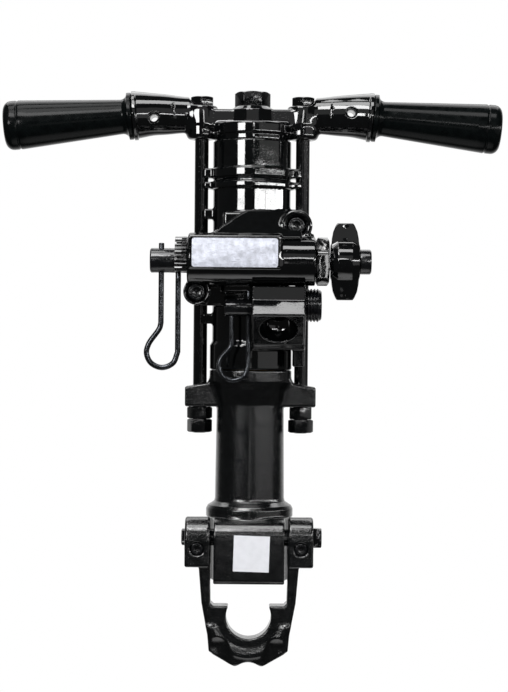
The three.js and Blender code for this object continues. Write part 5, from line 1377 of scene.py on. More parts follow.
# Front head
HEAD_ROUND = 0.9
HEAD_LUG_ROUND = 2.2
HEAD_NOSE_ROUND = 1.5
HEAD_BLEND = 3.2
NOSE_TOP_STEPS = 9


def front_head():
    end = FRONT_HEAD_LENGTH
    foot = end - SHOULDER_HEIGHT
    blend = foot - SHOULDER_BLEND
    flare = [(TUBE_BOTTOM_RADIUS + (COLLAR_RADIUS - TUBE_BOTTOM_RADIUS) * out, COLLAR_TOP + FLARE_HEIGHT * up)
             for out, up in FLARE_SHARES]
    out, up = SHOULDER_SHARES
    shoulder = (TUBE_TOP_RADIUS + (SHOULDER_RADIUS - TUBE_TOP_RADIUS) * out, blend + SHOULDER_BLEND * up)
    shell = turned([
        (0, 0), (NOSE_BODY_RADIUS - NOSE_EDGE, 0), (NOSE_BODY_RADIUS, NOSE_EDGE),
        (NOSE_BODY_RADIUS, COLLAR_BOTTOM), (COLLAR_RADIUS - COLLAR_EDGE, COLLAR_BOTTOM),
        (COLLAR_RADIUS, COLLAR_BOTTOM + COLLAR_EDGE), (COLLAR_RADIUS, COLLAR_TOP), *flare,
        (TUBE_BOTTOM_RADIUS, FLARE_TOP), (TUBE_TOP_RADIUS, blend), shoulder, (SHOULDER_RADIUS, foot),
        (SHOULDER_RADIUS, end - TURNED_EDGE), (SHOULDER_RADIUS - TURNED_EDGE, end), (0, end),
    ], HEAD_ROUND)
    lug_top = LUG_BOTTOM + LUG_SIDE_HEIGHT
    lugs = slab(both_sides([
        (LUG_HALF_WIDTH, LUG_BOTTOM), (LUG_HALF_WIDTH, lug_top), (LUG_CROWN_OFFSET, lug_top + LUG_CROWN_LIFT),
        (TUBE_TOP_RADIUS, end - LUG_EDGE),
    ]), -LUG_HALF_DEPTH, LUG_HALF_DEPTH, "y", HEAD_LUG_ROUND)
    r = NOSE_BARREL_RADIUS
    front = HINGE_DEPTH + r
    round_top = [(-HINGE_DEPTH - r * math.cos(a), HINGE_HEIGHT + r * math.sin(a))
                 for a in np.linspace(0, math.pi / 2, NOSE_TOP_STEPS)]
    nose = slab([(0, 0), (NOSE_FOOT_ROUND - front, 0), (-front, NOSE_FOOT_ROUND), *round_top, (0, NOSE_TOP)],
                -NOSE_HALF_WIDTH, NOSE_HALF_WIDTH, "x", HEAD_NOSE_ROUND)
    tools = [bolt_hole(LUG_BOTTOM, end, sign * BOLT_OFFSET) for sign, _ in SIDES]
    tools += [rod(MOUTH_RADIUS, -PAST, MOUTH_LIP + 1), rod(CHUCK_BORE, MOUTH_LIP, CHUCK_BORE_TOP + 1),
              rod(HEAD_BORE, CHUCK_BORE_TOP, end), rod(CYLINDER_BORE, end - GUIDE_POCKET_DEPTH, end + PAST),
              rod(HINGE_PIN_HOLE_RADIUS, -PIN_HOLE_REACH, PIN_HOLE_REACH, "x", HINGE_AXIS)]
    done = cast(cut(CAST_EDGE, union(HEAD_BLEND, shell, lugs, nose), *tools), size=0.05, scale=9, seed=4)
    casting("front_head_casting", "front_head", done,
            low=(-70, -60, -4), high=(70, 48, end + 3), step=0.9)


# Control block
BLOCK_BLEND = 2.4
REAR_ROUND = 1.8
FACE_ROUND = 2.2
GUSSET_BLEND = 2.5
CROWN_RUN = 6
CROWN_FALL = 3.6
COUNTERSINK_WIDTH = 4.2
COUNTERSINK_DEPTH = 2.2


def counterbore(x, z):
    """The hole, the seat and the countersink of one cap screw."""
    top = -BOSS_FACE_DEPTH - 2
    foot = COUNTERSINK_DEPTH - BOSS_FACE_DEPTH
    r = COUNTERBORE_RADIUS
    return [rod(SCREW_HOLE_RADIUS, -BOSS_FACE_DEPTH, -BOSS_BACK_DEPTH + PAST, "y", (x, z)),
            rod(r, -BOSS_FACE_DEPTH - PAST, -HEAD_SEAT, "y", (x, z)),
            turned([(0, top), (r + COUNTERSINK_WIDTH, top), (r, foot), (0, foot)], 0, "y", (x, z))]


def behind_block(x, y, z):
    """The room of the cylinder pad, which the screw bosses reach into."""
    keep = np.minimum(*[np.hypot(x - a, z - b) - r for a, b, r in SCREWS.values()])
    return np.maximum(-BLOCK_BACK - y, -keep)


def control_block():
    barrel = rod(BARREL_RADIUS, -BARREL_HALF_LENGTH, BARREL_HALF_LENGTH, "x", BARREL_AXIS, BLOCK_EDGE)
    rear = slab([(-BARREL_DEPTH, BLOCK_BOTTOM), (-BARREL_DEPTH, BLOCK_TOP), (-BLOCK_BACK, BLOCK_TOP),
                 (-BLOCK_BACK, BLOCK_BOTTOM)], -BLOCK_HALF_WIDTH, BLOCK_HALF_WIDTH, "x", REAR_ROUND)
    face_foot = BARREL_HEIGHT - FACE_BOTTOM_DROP
    face_back = -BLOCK_BACK - BLOCK_EDGE
    face = slab([(-FACE_DEPTH, face_foot), (-FACE_DEPTH, FACE_TOP), (face_back, BLOCK_TOP),
                 (face_back, face_foot)], -BLOCK_HALF_WIDTH, FACE_RIGHT, "x", FACE_ROUND)
    crown = BARREL_HEIGHT + GUSSET_TOP_LIFT
    gusset_foot = FACE_TOP - BLOCK_EDGE
    from_side = slab([(-GUSSET_FOOT_DEPTH, gusset_foot), (-GUSSET_TOP_DEPTH, crown), (-BLOCK_BACK, crown),
                      (-BLOCK_BACK, gusset_foot)], -GUSSET_LEFT - PAST, GUSSET_RIGHT + PAST, "x")
    from_front = slab([
        (-GUSSET_LEFT, BARREL_HEIGHT), (-GUSSET_LEFT, FACE_TOP + BLOCK_EDGE),
        (-GUSSET_CROWN_LEFT - CROWN_RUN, crown - CROWN_FALL), (-GUSSET_CROWN_LEFT, crown),
        (GUSSET_RIGHT - GUSSET_ROUND, crown), (GUSSET_RIGHT, crown - GUSSET_ROUND),
        (GUSSET_RIGHT, BARREL_HEIGHT),
    ], -FACE_DEPTH - PAST, -BLOCK_BACK, "y")
    bosses = [rod(r, -BOSS_FACE_DEPTH, -BOSS_BACK_DEPTH, "y", (x, z), BLOCK_EDGE)
              for x, z, r in SCREWS.values()]
    body = union(BLOCK_BLEND, barrel, rear, face, common(GUSSET_BLEND, from_side, from_front), *bosses)
    end = BARREL_HALF_LENGTH
    spindle_end = end - GLAND_TAIL_LENGTH - SPINDLE_LENGTH - 3 * SEAT_GAP
    tools = [tool for x, z, _ in SCREWS.values() for tool in counterbore(x, z)]
    tools += [
        rod(SPINDLE_RADIUS + RUN_GAP, spindle_end, end, "x", BARREL_AXIS),
        rod(GLAND_TAIL_RADIUS + SEAT_GAP, end - GLAND_TAIL_LENGTH - SEAT_GAP, end + PAST, "x", BARREL_AXIS),
        rod(PORT_TAIL_RADIUS + SEAT_GAP, -end - PAST, PORT_TAIL_LENGTH + SEAT_GAP - end, "x", BARREL_AXIS),
    ]
    done = cast(cut(HOLE_EDGE, cut(0, body, behind_block), *tools), size=0.05, scale=8, seed=5)
    casting("control_block_casting", "control_block", done,
            low=(-72, -89, 266), high=(68, -26, PAD_TOP + 10), step=0.75)


# Retainer yoke: a plate with a window, two bosses above it and a fork behind its foot
YOKE_PLATE_ROUND = 3.2
YOKE_SIDE_ROUND = 2
YOKE_BLEND = 2.5
YOKE_CUT_EDGE = 2.2
STEP_CORNER_SHARE = 0.7
ROLL_INSET = 17
ROLL_OUTLINE = ((-7, 8), (-7, 0.4), (-3, -2.2), (1, -2.2), (3.5, 0.4), (3.5, 8))
ROLL_ROUND = 2
ROLL_BLEND = 4
ROLL_DROP = 8
BELOW_ROUND = 5
FORK_ROUND = 3
FORK_BLEND = 2
FORK_EDGE = 1.5
BOSS_END_ROUND = 2.6
BOSS_STRAP_ROUND = 2.2
BOSS_STRAP_BLEND = 1.2
SCOOP_RADIUS = 13
SCOOP_CENTRES = ((-28.5, 4), (26, 3))
SCOOP_OUTSIDE = 9.5
SCOOP_LENGTH = 14
SCOOP_LEAN = 0.84
SCOOP_EDGE = 1.6
FACE_EDGE = 1
BEYOND = 6
OPENING_REACH = 24
BOSS_HOLE_LEAD = 8


def below_hinge(drop):
    return HINGE_HEIGHT - drop


def retainer_yoke():
    front, back = -HINGE_DEPTH - YOKE_HALF_THICKNESS, -HINGE_DEPTH + YOKE_HALF_THICKNESS
    bottom, foot, step, fork_top, boss_foot = (below_hinge(drop) for drop in (
        YOKE_BOTTOM_DROP, YOKE_FOOT_DROP, YOKE_STEP_DROP, FORK_TOP_DROP, YOKE_BOSS_DROP))
    outline = both_sides([
        (YOKE_TOE_OFFSET, bottom), (YOKE_FOOT_HALF_WIDTH, foot), (ARM_OUTER_LOW, below_hinge(YOKE_LOW_DROP)),
        (ARM_OUTER_MIDDLE, below_hinge(YOKE_MIDDLE_DROP)), (ARM_OUTER_TOP, boss_foot),
        (ARM_OUTER_TOP, HINGE_HEIGHT),
    ])
    plate = slab(outline, front, back, "y", YOKE_PLATE_ROUND)
    corner = STEP_CORNER_SHARE * YOKE_STEP_CORNER
    opening = slab(both_sides([
        (YOKE_INNER_WAIST - corner, step), (YOKE_INNER_WAIST, step + corner), (YOKE_BOSS_INNER, boss_foot),
        (YOKE_BOSS_INNER, HINGE_HEIGHT + OPENING_REACH),
    ]), -ROOM, 0, "y")
    window_at = (0, below_hinge(YOKE_WINDOW_DROP))
    window = rod(YOKE_WINDOW_RADIUS, -ROOM, 0, "y", window_at)
    # the roll around the lower half of the window stands proud of the plate
    rim = YOKE_WINDOW_RADIUS + ROLL_INSET
    ring = turned([(rim + out, front + y) for out, y in ROLL_OUTLINE], ROLL_ROUND, "y", window_at)
    below = block((-ROOM, -ROOM, bottom - 10), (ROOM, 0, window_at[1] - ROLL_DROP), BELOW_ROUND)
    within = slab(outline, -ROOM, 0, "y", YOKE_SIDE_ROUND)
    face = common(FACE_EDGE, union(YOKE_BLEND, plate, common(ROLL_BLEND, ring, below)), within)
    fork_plan = slab(both_sides([
        (FORK_HALF_WIDTH, front + YOKE_EDGE), (FORK_HALF_WIDTH, back),
        (FORK_NOTCH_RADIUS + YOKE_TOE_OFFSET, FORK_BACK),
    ]), bottom, fork_top, "z", FORK_ROUND)
    fork_front = slab(both_sides([
        (YOKE_TOE_OFFSET, bottom), (YOKE_FOOT_HALF_WIDTH, foot), (YOKE_FOOT_HALF_WIDTH, fork_top),
    ]), -60, FORK_BACK, "y")
    r = FORK_NOTCH_RADIUS
    notch = union(0, rod(r, bottom - BEYOND, fork_top + BEYOND),
                  block((-r, 0, bottom - BEYOND), (r, FORK_BACK + BEYOND, fork_top + BEYOND)))
    boss_back = YOKE_BOSS_RADIUS - HINGE_DEPTH
    boss = union(BOSS_STRAP_BLEND,
                 rod(YOKE_BOSS_RADIUS, YOKE_BOSS_INNER, YOKE_BOSS_OUTER, "x", HINGE_AXIS, BOSS_END_ROUND),
                 slab([(-YOKE_FACE, boss_foot), (boss_back, boss_foot), (boss_back, HINGE_HEIGHT),
                       (-YOKE_FACE, HINGE_HEIGHT)], YOKE_BOSS_INNER, YOKE_BOSS_OUTER, "x", BOSS_STRAP_ROUND))
    body = union(YOKE_BLEND, mirror(boss), cut(YOKE_CUT_EDGE, face, opening, window),
                 cut(FORK_EDGE, common(FORK_BLEND, fork_plan, fork_front), notch))
    scoop_y = front - SCOOP_OUTSIDE
    scoops = [stick((x, scoop_y, foot + lift), (x * SCOOP_LEAN, scoop_y, foot + lift - SCOOP_LENGTH),
                    SCOOP_RADIUS, SCOOP_RADIUS) for x, lift in SCOOP_CENTRES]
    toe = rod(TOE_NOTCH_RADIUS, -ROOM, PIN_HOLE_REACH, "y", (0, bottom - TOE_NOTCH_RADIUS + TOE_NOTCH_DEPTH))
    grub_at = (GRUB_OFFSET, below_hinge(GRUB_DROP))
    r, face_y = GRUB_HOLE_RADIUS, -YOKE_FACE
    grub_end = GRUB_SINK + GRUB_LENGTH + SEAT_GAP - YOKE_FACE
    holes = [rod(HINGE_PIN_HOLE_RADIUS, YOKE_BOSS_INNER - BOSS_HOLE_LEAD, YOKE_BOSS_OUTER + PAST,
                 "x", HINGE_AXIS),
             rod(r, face_y - PAST, grub_end, "y", grub_at),
             turned([(0, face_y - 2), (r + 3, face_y - 2), (r, face_y + 1), (0, face_y + 1)],
                    0, "y", grub_at)]
    done = cut(CAST_EDGE, cut(SCOOP_EDGE, body, notch, toe, *scoops), *[mirror(hole) for hole in holes])
    casting("retainer_yoke_forging", "retainer_yoke", cast(done, size=0.07, scale=7, seed=6),
            low=(-68, -60, bottom - 4), high=(68, 18, HINGE_HEIGHT + 25), step=0.8)


# Throttle knob, with a thumb hollow in the front and the back of each lobe
LOBE_SHARES = ((1, 0), (1, 0.35), (0.94, 0.6), (0.85, 0.78), (0.68, 0.93))
WING_ROUND = 1.4
WING_BLEND = 1.2
HUB_ROUND = 1.2
HUB_BLEND = 2.5
HOLLOW_HEIGHTS = (26.5, 33)
HOLLOW_OFFSETS = (6.5, 5)
HOLLOW_RADII = (11, 10.5)
HOLLOW_EDGE = 1


def throttle_knob():
    mid, half = (KNOB_START + KNOB_END) / 2, KNOB_WIDTH / 2
    lobe = [(half * out, KNOB_HALF_SPAN * up) for out, up in LOBE_SHARES]
    right = [(KNOB_TIP_WIDTH / 2, -KNOB_HALF_SPAN)] + [(x, -z) for x, z in reversed(lobe)] + lobe[1:]
    right += [(KNOB_TIP_WIDTH / 2, KNOB_HALF_SPAN)]
    root, tip, reach = KNOB_ROOT_HALF_THICKNESS, KNOB_TIP_HALF_THICKNESS, KNOB_HALF_SPAN + 3
    wing = slab([(mid + x, BARREL_HEIGHT + z) for x, z in both_sides(right)],
                -BARREL_DEPTH - root, root - BARREL_DEPTH, "y", WING_ROUND)
    thickness = ((-tip, -reach), (-root, 0), (-tip, reach), (tip, reach), (root, 0), (tip, -reach))
    taper = slab([(u - BARREL_DEPTH, BARREL_HEIGHT + v) for u, v in thickness],
                 KNOB_START - PAST, KNOB_END + PAST, "x")
    hub = turned([
        (0, KNOB_START), (KNOB_HUB_END_RADIUS, KNOB_START), (KNOB_HUB_RADIUS, KNOB_START + half / 2),
        (KNOB_HUB_RADIUS, KNOB_END - half / 2), (KNOB_HUB_END_RADIUS, KNOB_END), (0, KNOB_END),
    ], HUB_ROUND, "x", BARREL_AXIS)
    hollows = []
    for up in (1, -1):
        for side in (1, -1):
            ends = [(mid, side * (root + out) - BARREL_DEPTH, BARREL_HEIGHT + up * lift)
                    for out, lift in zip(HOLLOW_OFFSETS, HOLLOW_HEIGHTS)]
            hollows.append(stick(*ends, *HOLLOW_RADII))
    bore = rod(STEM_RADIUS + SEAT_GAP, KNOB_START - PAST, KNOB_END + PAST, "x", BARREL_AXIS)
    body = union(HUB_BLEND, common(WING_BLEND, wing, taper), hub)
    done = cast(cut(CAST_EDGE, cut(HOLLOW_EDGE, body, *hollows), bore), size=0.08, scale=5, seed=7)
    casting("throttle_knob_casting", "throttle_knob", done,
            low=(KNOB_START - 3, -84, BARREL_HEIGHT - 41),
            high=(KNOB_END + 3, -36, BARREL_HEIGHT + 41), step=0.6)


# Grips with a shallow groove before the rounded end, and their cross pins
GROOVE_INSET = 15.4
GROOVE_START = 0.6
GROOVE_OUTLINE = ((0.15, 0), (0.7, 0.6), (0.75, 1.2), (0.7, 1.8), (0.05, 2.5), (0, 4.3))
FLANGE_LIP = ((-0.6, 0.4), (-0.1, 1))
CURVE_STEPS = 10
BODY_STEPS = 12


def grip_outline():
    flange_end = SEAT_GAP + GRIP_FLANGE_THICKNESS
    quarter = np.linspace(0, math.pi / 2, CURVE_STEPS)
    cove = [(GRIP_FLANGE_RADIUS + (GRIP_WAIST_RADIUS - GRIP_FLANGE_RADIUS) * math.sin(a),
             flange_end + (GRIP_WAIST_PLACE - flange_end) * (1 - math.cos(a))) for a in quarter]
    dome = [(GRIP_END_RADIUS - GRIP_END_ROUND * (1 - math.cos(a)),
             GRIP_LENGTH - GRIP_END_ROUND * (1 - math.sin(a))) for a in quarter]
    groove_at = GRIP_LENGTH - GROOVE_INSET
    reach = groove_at - GROOVE_START - GRIP_WAIST_PLACE
    body = [(GRIP_WAIST_RADIUS + (GRIP_END_RADIUS - GRIP_WAIST_RADIUS) * s, GRIP_WAIST_PLACE + reach * s)
            for s in np.linspace(0, 1, BODY_STEPS)][1:]
    groove = [(GRIP_END_RADIUS - out, groove_at + up) for out, up in GROOVE_OUTLINE]
    spigot, tail = GRIP_SPIGOT_RADIUS, -GRIP_SPIGOT_LENGTH
    flange = [(GRIP_FLANGE_RADIUS + out, SEAT_GAP + up) for out, up in FLANGE_LIP]
    return [(0, tail), (spigot - GRIP_EDGE, tail), (spigot, GRIP_EDGE + tail), (spigot, SEAT_GAP),
            (GRIP_FLANGE_RADIUS - GRIP_EDGE, SEAT_GAP), *flange, (GRIP_FLANGE_RADIUS, SEAT_GAP + GRIP_EDGE),
            *cove, *body, *groove, *dome, (0, GRIP_LENGTH)]


def grips():
    turn = Matrix.Rotation(math.pi / 2 + GRIP_DROOP, 4, "Y")
    half = CROSS_PIN_HALF_LENGTH
    for side, name in SIDES:
        pin_height = ARM_AXIS_HEIGHT + side * CROSS_PIN_SHIFT
        grip = lathe(f"grip_{name}_moulding", grip_outline(), FINE_ROUND)
        place(grip, ARM_MOUTH_OFFSET, 0, ARM_AXIS_HEIGHT, turn)
        hole = bar("hole", CROSS_PIN_RADIUS + SEAT_GAP, -PIN_HOLE_REACH, PIN_HOLE_REACH, PIN_ROUND)
        combine(grip, place(hole, CROSS_PIN_OFFSET, 0, pin_height, TOWARD_FRONT), "DIFFERENCE")
        if side < 0:
            grip.data.transform(Matrix.Scale(-1, 4, (1, 0, 0)))
            grip.data.flip_normals()
        settle(soften(grip, width=0.4, steps=2, angle=40), f"grip_{name}")
        pin = lathe(f"grip_pin_{name}_tube", [(CROSS_PIN_BORE, -half), (CROSS_PIN_RADIUS, -half),
                                              (CROSS_PIN_RADIUS, half), (CROSS_PIN_BORE, half)], PIN_ROUND)
        place(pin, side * CROSS_PIN_OFFSET, 0, pin_height, TOWARD_FRONT)
        settle(soften(pin, width=0.25, steps=2), f"grip_pin_{name}")


# Bolts, nuts and the plug of the water tube
NUT_TURNS = {"nut_right": 0.45, "locknut_right": 0.05, "nut_left": 0.0, "locknut_left": -0.12}
PLUG_EDGE = 1.6


def side_bolt(side, name):
    seat = BOLT_BOSS_TOP + SEAT_GAP
    head = hexagon(f"side_bolt_{name}_bar", BOLT_HEAD_FLATS, seat, seat + BOLT_HEAD_HEIGHT, False, FACET_TURN)
    combine(head, shank("shank", BOLT_RADIUS, BOLT_EDGE, BOLT_END, seat + 1), "UNION")
    settle(soften(place(head, side * BOLT_OFFSET), width=0.45, steps=3), f"side_bolt_{name}")


def side_nut(side, node, top, height):
    nut = hexagon(node + "_hex", NUT_FLATS, top - height, top, True, NUT_TURNS[node])
    combine(nut, bar("hole", BOLT_HOLE_RADIUS, top - height - 2, top + 2, NUT_ROUND), "DIFFERENCE")
    settle(soften(place(nut, side * BOLT_OFFSET), width=0.4, steps=3), node)


def water_tube_plug():
    seat = HUB_TOP + SEAT_GAP
    plug = hexagon("water_tube_plug_hex", PLUG_FLATS, seat, seat + PLUG_HEIGHT, False)
    low = HUB_TOP - PLUG_SHANK_LENGTH + SEAT_GAP
    combine(plug, shank("shank", PLUG_SHANK_RADIUS, PLUG_EDGE, low, seat + PLUG_EDGE), "UNION")
    settle(soften(plug, width=0.5, steps=3), "water_tube_plug")


def nuts_and_bolts():
    for side, name in SIDES:
        side_bolt(side, name)
        side_nut(side, f"nut_{name}", NUT_TOP, NUT_HEIGHT)
        side_nut(side, f"locknut_{name}", LOCKNUT_TOP, LOCKNUT_HEIGHT)
    water_tube_plug()


# The head of a cap screw has a round groove between its rim and its socket
SCREW_GROOVE = ((6.3, 0), (5.9, -0.5), (5.5, 0))


def cap_screws():
    top = BOSS_FACE_DEPTH - SCREW_SINK
    bottom = top - SCREW_HEAD_HEIGHT
    tip = BOSS_FACE_DEPTH - SCREW_LENGTH
    groove = [(radius, top + lift) for radius, lift in SCREW_GROOVE]
    outline = [(0, tip), (SCREW_SHANK_RADIUS, tip), (SCREW_SHANK_RADIUS, bottom), (SCREW_HEAD_RADIUS, bottom),
               (SCREW_HEAD_RADIUS, top - 1), (SCREW_HEAD_RADIUS - 1, top), *groove, (0, top)]
    for node, (x, z, _) in SCREWS.items():
        body = lathe(node + "_head", outline, BAR_ROUND)
        combine(body, hex_socket(SCREW_SOCKET_FLATS, SCREW_SOCKET_DEPTH, top), "DIFFERENCE")
        settle(soften(place(body, x, 0, z, TOWARD_FRONT), width=0.3, steps=2), node)


# Spring clips
LEG_STEPS = 12
LOOP_STEPS = 10
CLIPS = {
    "clip_left": dict(
        kink=CLIP_PIN, kink_top=BARREL_HEIGHT + CLIP_PIN_PROUD, kink_foot=BARREL_HEIGHT - CLIP_KINK_DROP,
        straight=CLIP_PIN + CLIP_SPAN, straight_top=BARREL_HEIGHT - CLIP_LEG_TOP,
        loop_x=CLIP_PIN + CLIP_SPAN - CLIP_LOOP_RADIUS, loop_z=BARREL_HEIGHT - CLIP_LOOP_DROP,
        radius=CLIP_LOOP_RADIUS, wire=CLIP_WIRE_RADIUS, depth=-BARREL_DEPTH),
    "clip_lower": dict(
        kink=SHORT_PIN - SHORT_SPAN, kink_top=LOWER_SOCKET_HEIGHT - SHORT_LEG_TOP,
        kink_foot=LOWER_SOCKET_HEIGHT - SHORT_KINK_DROP, straight=SHORT_PIN,
        straight_top=LOWER_SOCKET_HEIGHT + SHORT_PIN_PROUD, loop_x=SHORT_PIN - SHORT_LOOP_RADIUS,
        loop_z=LOWER_SOCKET_HEIGHT - SHORT_LOOP_DROP, radius=SHORT_LOOP_RADIUS, wire=SHORT_WIRE_RADIUS,
        depth=-NIPPLE_DEPTH),
}


def wire_path(clip):
    """The leg with the kink, the loop and the straight leg, as one line."""
    side = 1 if clip["straight"] > clip["kink"] else -1
    wire, radius, lx, lz = clip["wire"], clip["radius"], clip["loop_x"], clip["loop_z"]
    kink_out, kink_down = CLIP_KINK_SHARES
    control = [(clip["kink"], clip["kink_foot"]),
               (clip["kink"] - side * wire * kink_out, clip["kink_foot"] - wire * kink_down)]
    for degrees in CLIP_LOOP_ANGLES:
        a = math.radians(degrees)
        control.append((lx + side * radius * math.cos(a), lz + radius * math.sin(a)))
    control.append((clip["straight"], lz))
    points = [(clip["kink"], z) for z in np.linspace(clip["kink_top"], clip["kink_foot"], LEG_STEPS)]
    points += catmull(control, LOOP_STEPS)[1:]
    points += [(clip["straight"], z) for z in np.linspace(lz, clip["straight_top"], LEG_STEPS)][1:]
    return [(x, clip["depth"], z) for x, z in points]


def clips():
    for node, clip in CLIPS.items():
        settle(tube_along(node + "_wire", wire_path(clip), clip["wire"]), node)


# Left end: the serrated collar and the two sockets that the clips stand in
SERRATION_LEAN = 0.15
SOCKET_EDGE = 1.2
COLLAR_CUT = (-90, -50)
PORT_HOLE_REACH = 20
LOWER_HOLE_REACH = 14


def serrated_collar():
    outline = []
    for k in range(SERRATION_COUNT * 4):
        radius = COLLAR_RING_RADIUS if k % 4 < 2 else COLLAR_RING_RADIUS - SERRATION_DEPTH
        a = 2 * math.pi * (k - SERRATION_LEAN * (k % 2)) / (SERRATION_COUNT * 4)
        outline.append((radius * math.cos(a), radius * math.sin(a)))
    ring = prism("serrated_collar_ring", outline, -BARREL_SEAT - COLLAR_RING_WIDTH, -BARREL_SEAT)
    combine(ring, bar("bore", PORT_SOCKET_RADIUS + SEAT_GAP, *COLLAR_CUT, BAR_ROUND), "DIFFERENCE")
    flat = [(COLLAR_RING_DROP, -30), (30, -30), (30, 30), (COLLAR_RING_DROP, 30)]
    combine(ring, prism("flat", flat, *COLLAR_CUT), "DIFFERENCE")
    settle(soften(on_barrel(ring), width=0.3, steps=2, angle=35), "serrated_collar")


def clip_socket(node, radius, tail, bore, ends, depth, height, legs):
    """A turned socket along X, with upright holes for the legs of its clip."""
    end, seat, tail_end, bore_end = ends
    outline = [(0, bore_end), (bore, bore_end), (bore, end), (radius - SOCKET_EDGE, end),
               (radius, end + SOCKET_EDGE), (radius, seat), (tail, seat), (tail, tail_end), (0, tail_end)]
    socket = place(lathe(node + "_turned", outline, SOCKET_ROUND), 0, -depth, height, ALONG_X)
    for x, low, high, hole_radius in legs:
        combine(socket, place(bar("hole", hole_radius, low, high, PIN_ROUND), x, -depth, 0), "DIFFERENCE")
    settle(soften(socket, width=0.4, steps=2), node)


def left_end():
    serrated_collar()
    hole = CLIP_WIRE_RADIUS + CLIP_HOLE_GAP
    low = BARREL_HEIGHT - PORT_HOLE_REACH
    clip_socket("port_socket", PORT_SOCKET_RADIUS, PORT_TAIL_RADIUS, PORT_BORE,
                (PORT_END, -BARREL_SEAT, PORT_TAIL_LENGTH - BARREL_HALF_LENGTH, PORT_END + PORT_BORE_DEPTH),
                BARREL_DEPTH, BARREL_HEIGHT,
                [(CLIP_PIN, low, BARREL_HEIGHT + PORT_HOLE_REACH, hole),
                 (CLIP_PIN + CLIP_SPAN, low, BARREL_HEIGHT - CLIP_LEG_TOP + 3, hole)])
    hole = SHORT_WIRE_RADIUS + CLIP_HOLE_GAP
    low = LOWER_SOCKET_HEIGHT - LOWER_HOLE_REACH
    seat = CHEST_LEFT - SEAT_GAP
    end = seat - LOWER_SOCKET_LENGTH
    clip_socket("lower_socket", LOWER_SOCKET_RADIUS, LOWER_SOCKET_TAIL_RADIUS, LOWER_SOCKET_BORE,
                (end, seat, CHEST_LEFT + LOWER_SOCKET_TAIL_LENGTH, end + LOWER_SOCKET_BORE_DEPTH),
                NIPPLE_DEPTH, LOWER_SOCKET_HEIGHT,
                [(SHORT_PIN, low, LOWER_SOCKET_HEIGHT + LOWER_HOLE_REACH, hole),
                 (SHORT_PIN - SHORT_SPAN, low, LOWER_SOCKET_HEIGHT - LOWER_SOCKET_BORE, hole)])


# The nipple carries rings of thread, each drawn as (share of the depth out, distance along)
THREAD_COUNT = 4
THREAD_START = 1.2
THREAD_PITCH = 3.1
THREAD_DEPTH = 1.3
THREAD_OUTLINE = ((0, 0), (1, 0.9), (1, 1.7), (0, 2.6))


def nipple():
    start = CHEST_RIGHT + SEAT_GAP
    end = start + NIPPLE_LENGTH
    tail = CHEST_RIGHT - NIPPLE_TAIL_LENGTH
    root = NIPPLE_RADIUS - THREAD_DEPTH
    outline = [(NIPPLE_BORE, tail), (NIPPLE_TAIL_RADIUS, tail), (NIPPLE_TAIL_RADIUS, start), (root, start)]
    for k in range(THREAD_COUNT):
        z = start + THREAD_START + k * THREAD_PITCH
        outline += [(NIPPLE_RADIUS if out else root, z + along) for out, along in THREAD_OUTLINE]
    outline += [(root, end - 1.3), (NIPPLE_RADIUS - NIPPLE_CHAMFER - 1, end), (NIPPLE_BORE, end)]
    body = place(lathe("air_nipple_threaded", outline, FINE_ROUND), 0, -NIPPLE_DEPTH, NIPPLE_HEIGHT, ALONG_X)
    settle(soften(body, width=0.2, steps=2, angle=50), "air_nipple")


# Right end: gland nut and end nut
END_NUT_EDGE = ((-0.6, 0), (0, 0.7))
END_NUT_BORE_DEPTH = 1.4


def right_end():
    gland = hexagon("gland_nut_hex", GLAND_FLATS, BARREL_SEAT, GLAND_END, True, FACET_TURN + GLAND_TURN)
    tail = BARREL_HALF_LENGTH - GLAND_TAIL_LENGTH
    combine(gland, bar("shank", GLAND_TAIL_RADIUS, tail, BARREL_SEAT + 2, SOCKET_ROUND), "UNION")
    combine(gland, bar("bore", STEM_RADIUS + RUN_GAP, tail - PAST, GLAND_END + PAST, NUT_ROUND), "DIFFERENCE")
    settle(soften(on_barrel(gland), width=0.45, steps=3), "gland_nut")
    start = KNOB_END + SEAT_GAP
    end = start + END_NUT_LENGTH
    floor = end - END_NUT_BORE_DEPTH
    edge = [(END_NUT_RADIUS + out, start + up) for out, up in END_NUT_EDGE]
    end_nut = lathe("throttle_end_nut_turned", [
        (0, start), *edge, (END_NUT_RADIUS, end - END_NUT_CHAMFER), (END_NUT_RADIUS - END_NUT_CHAMFER, end),
        (END_NUT_BORE, end), (END_NUT_BORE, floor), (0, floor)], SOCKET_ROUND)
    settle(soften(on_barrel(end_nut), width=0.35, steps=2), "throttle_end_nut")


# Name plate without any text, held by three rivets
RIVET_OUTLINE = ((0, -0.6), (1.5, -0.6), (1.4, 0.1), (1.0, 0.4), (0, 0.5))
RIVET_INSET = 3.5
CORNER_STEPS = 7


def rounded_corners(x0, x1, z0, z1, r):
    out = []
    corners = ((x1 - r, z1 - r, 0), (x0 + r, z1 - r, 90), (x0 + r, z0 + r, 180), (x1 - r, z0 + r, 270))
    for cx, cz, start in corners:
        for k in range(CORNER_STEPS):
            a = math.radians(start + 90 / (CORNER_STEPS - 1) * k)
            out.append((cx + r * math.cos(a), cz + r * math.sin(a)))
    return out


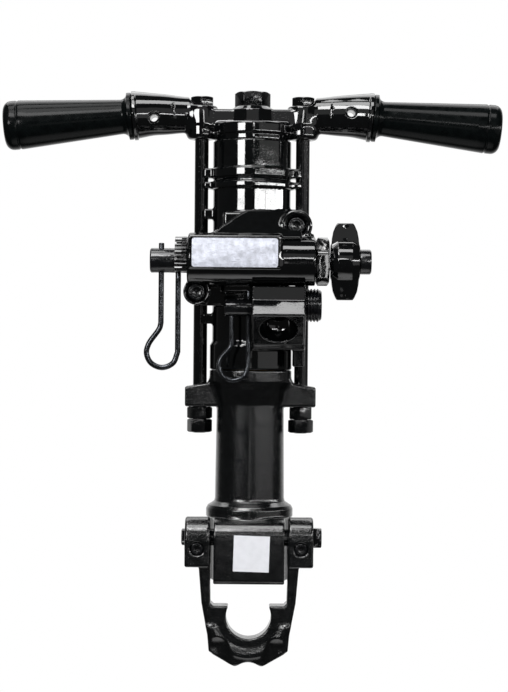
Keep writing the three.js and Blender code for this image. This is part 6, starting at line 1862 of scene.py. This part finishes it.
def name_plate():
    right = PLATE_WIDTH - PLATE_LEFT
    top = FACE_TOP - PLATE_TOP_GAP
    bottom = top - PLATE_HEIGHT
    low = FACE_DEPTH + SEAT_GAP
    high = low + PLATE_THICKNESS
    outline = rounded_corners(-PLATE_LEFT, right, bottom, top, PLATE_CORNER)
    plate = prism("name_plate_sheet", outline, low, high)
    plate.data.transform(TOWARD_FRONT)
    near = RIVET_INSET
    for x, z in ((right - 4, top - 6), (right - near, bottom + near), (near - PLATE_LEFT, bottom + near)):
        rivet = lathe("rivet", [(radius, high + lift) for radius, lift in RIVET_OUTLINE], RIVET_ROUND)
        combine(plate, place(rivet, x, 0, z, TOWARD_FRONT), "UNION")
    settle(soften(plate, width=0.25, steps=2), "name_plate")


# Hinge pin of the yoke and the grub screws that hold it
GRUB_TIP_EDGE = 1
GRUB_TOP_EDGE = 0.8


def hinge_parts():
    head = YOKE_BOSS_OUTER + SEAT_GAP
    tail = -YOKE_BOSS_OUTER - HINGE_PIN_PROUD
    pin = shank("hinge_pin_bar", HINGE_PIN_RADIUS, TURNED_EDGE, tail, head + TURNED_EDGE)
    end = head + HINGE_HEAD_HEIGHT
    combine(pin, hexagon("head", HINGE_HEAD_FLATS, head, end, False, FACET_TURN), "UNION")
    settle(soften(place(pin, 0, -HINGE_DEPTH, HINGE_HEIGHT, ALONG_X), width=0.4, steps=3), "hinge_pin")
    top = YOKE_FACE - GRUB_SINK
    tip = top - GRUB_LENGTH
    outline = [(0, tip), (GRUB_RADIUS - GRUB_TIP_EDGE, tip), (GRUB_RADIUS, tip + GRUB_TIP_EDGE),
               (GRUB_RADIUS, top - GRUB_TOP_EDGE), (GRUB_RADIUS - GRUB_TOP_EDGE, top), (0, top)]
    for side, name in SIDES:
        grub = lathe(f"grub_screw_{name}_turned", outline, NUT_ROUND)
        combine(grub, hex_socket(GRUB_SOCKET_FLATS, GRUB_SOCKET_DEPTH, top), "DIFFERENCE")
        place(grub, side * GRUB_OFFSET, 0, below_hinge(GRUB_DROP), TOWARD_FRONT)
        settle(soften(grub, width=0.3, steps=2), f"grub_screw_{name}")


def build():
    dress_cad()
    backhead()
    ratchet_housing()
    cylinder()
    front_head()
    control_block()
    retainer_yoke()
    throttle_knob()
    grips()
    nuts_and_bolts()
    cap_screws()
    clips()
    left_end()
    nipple()
    right_end()
    name_plate()
    hinge_parts()


add_stage()
build()
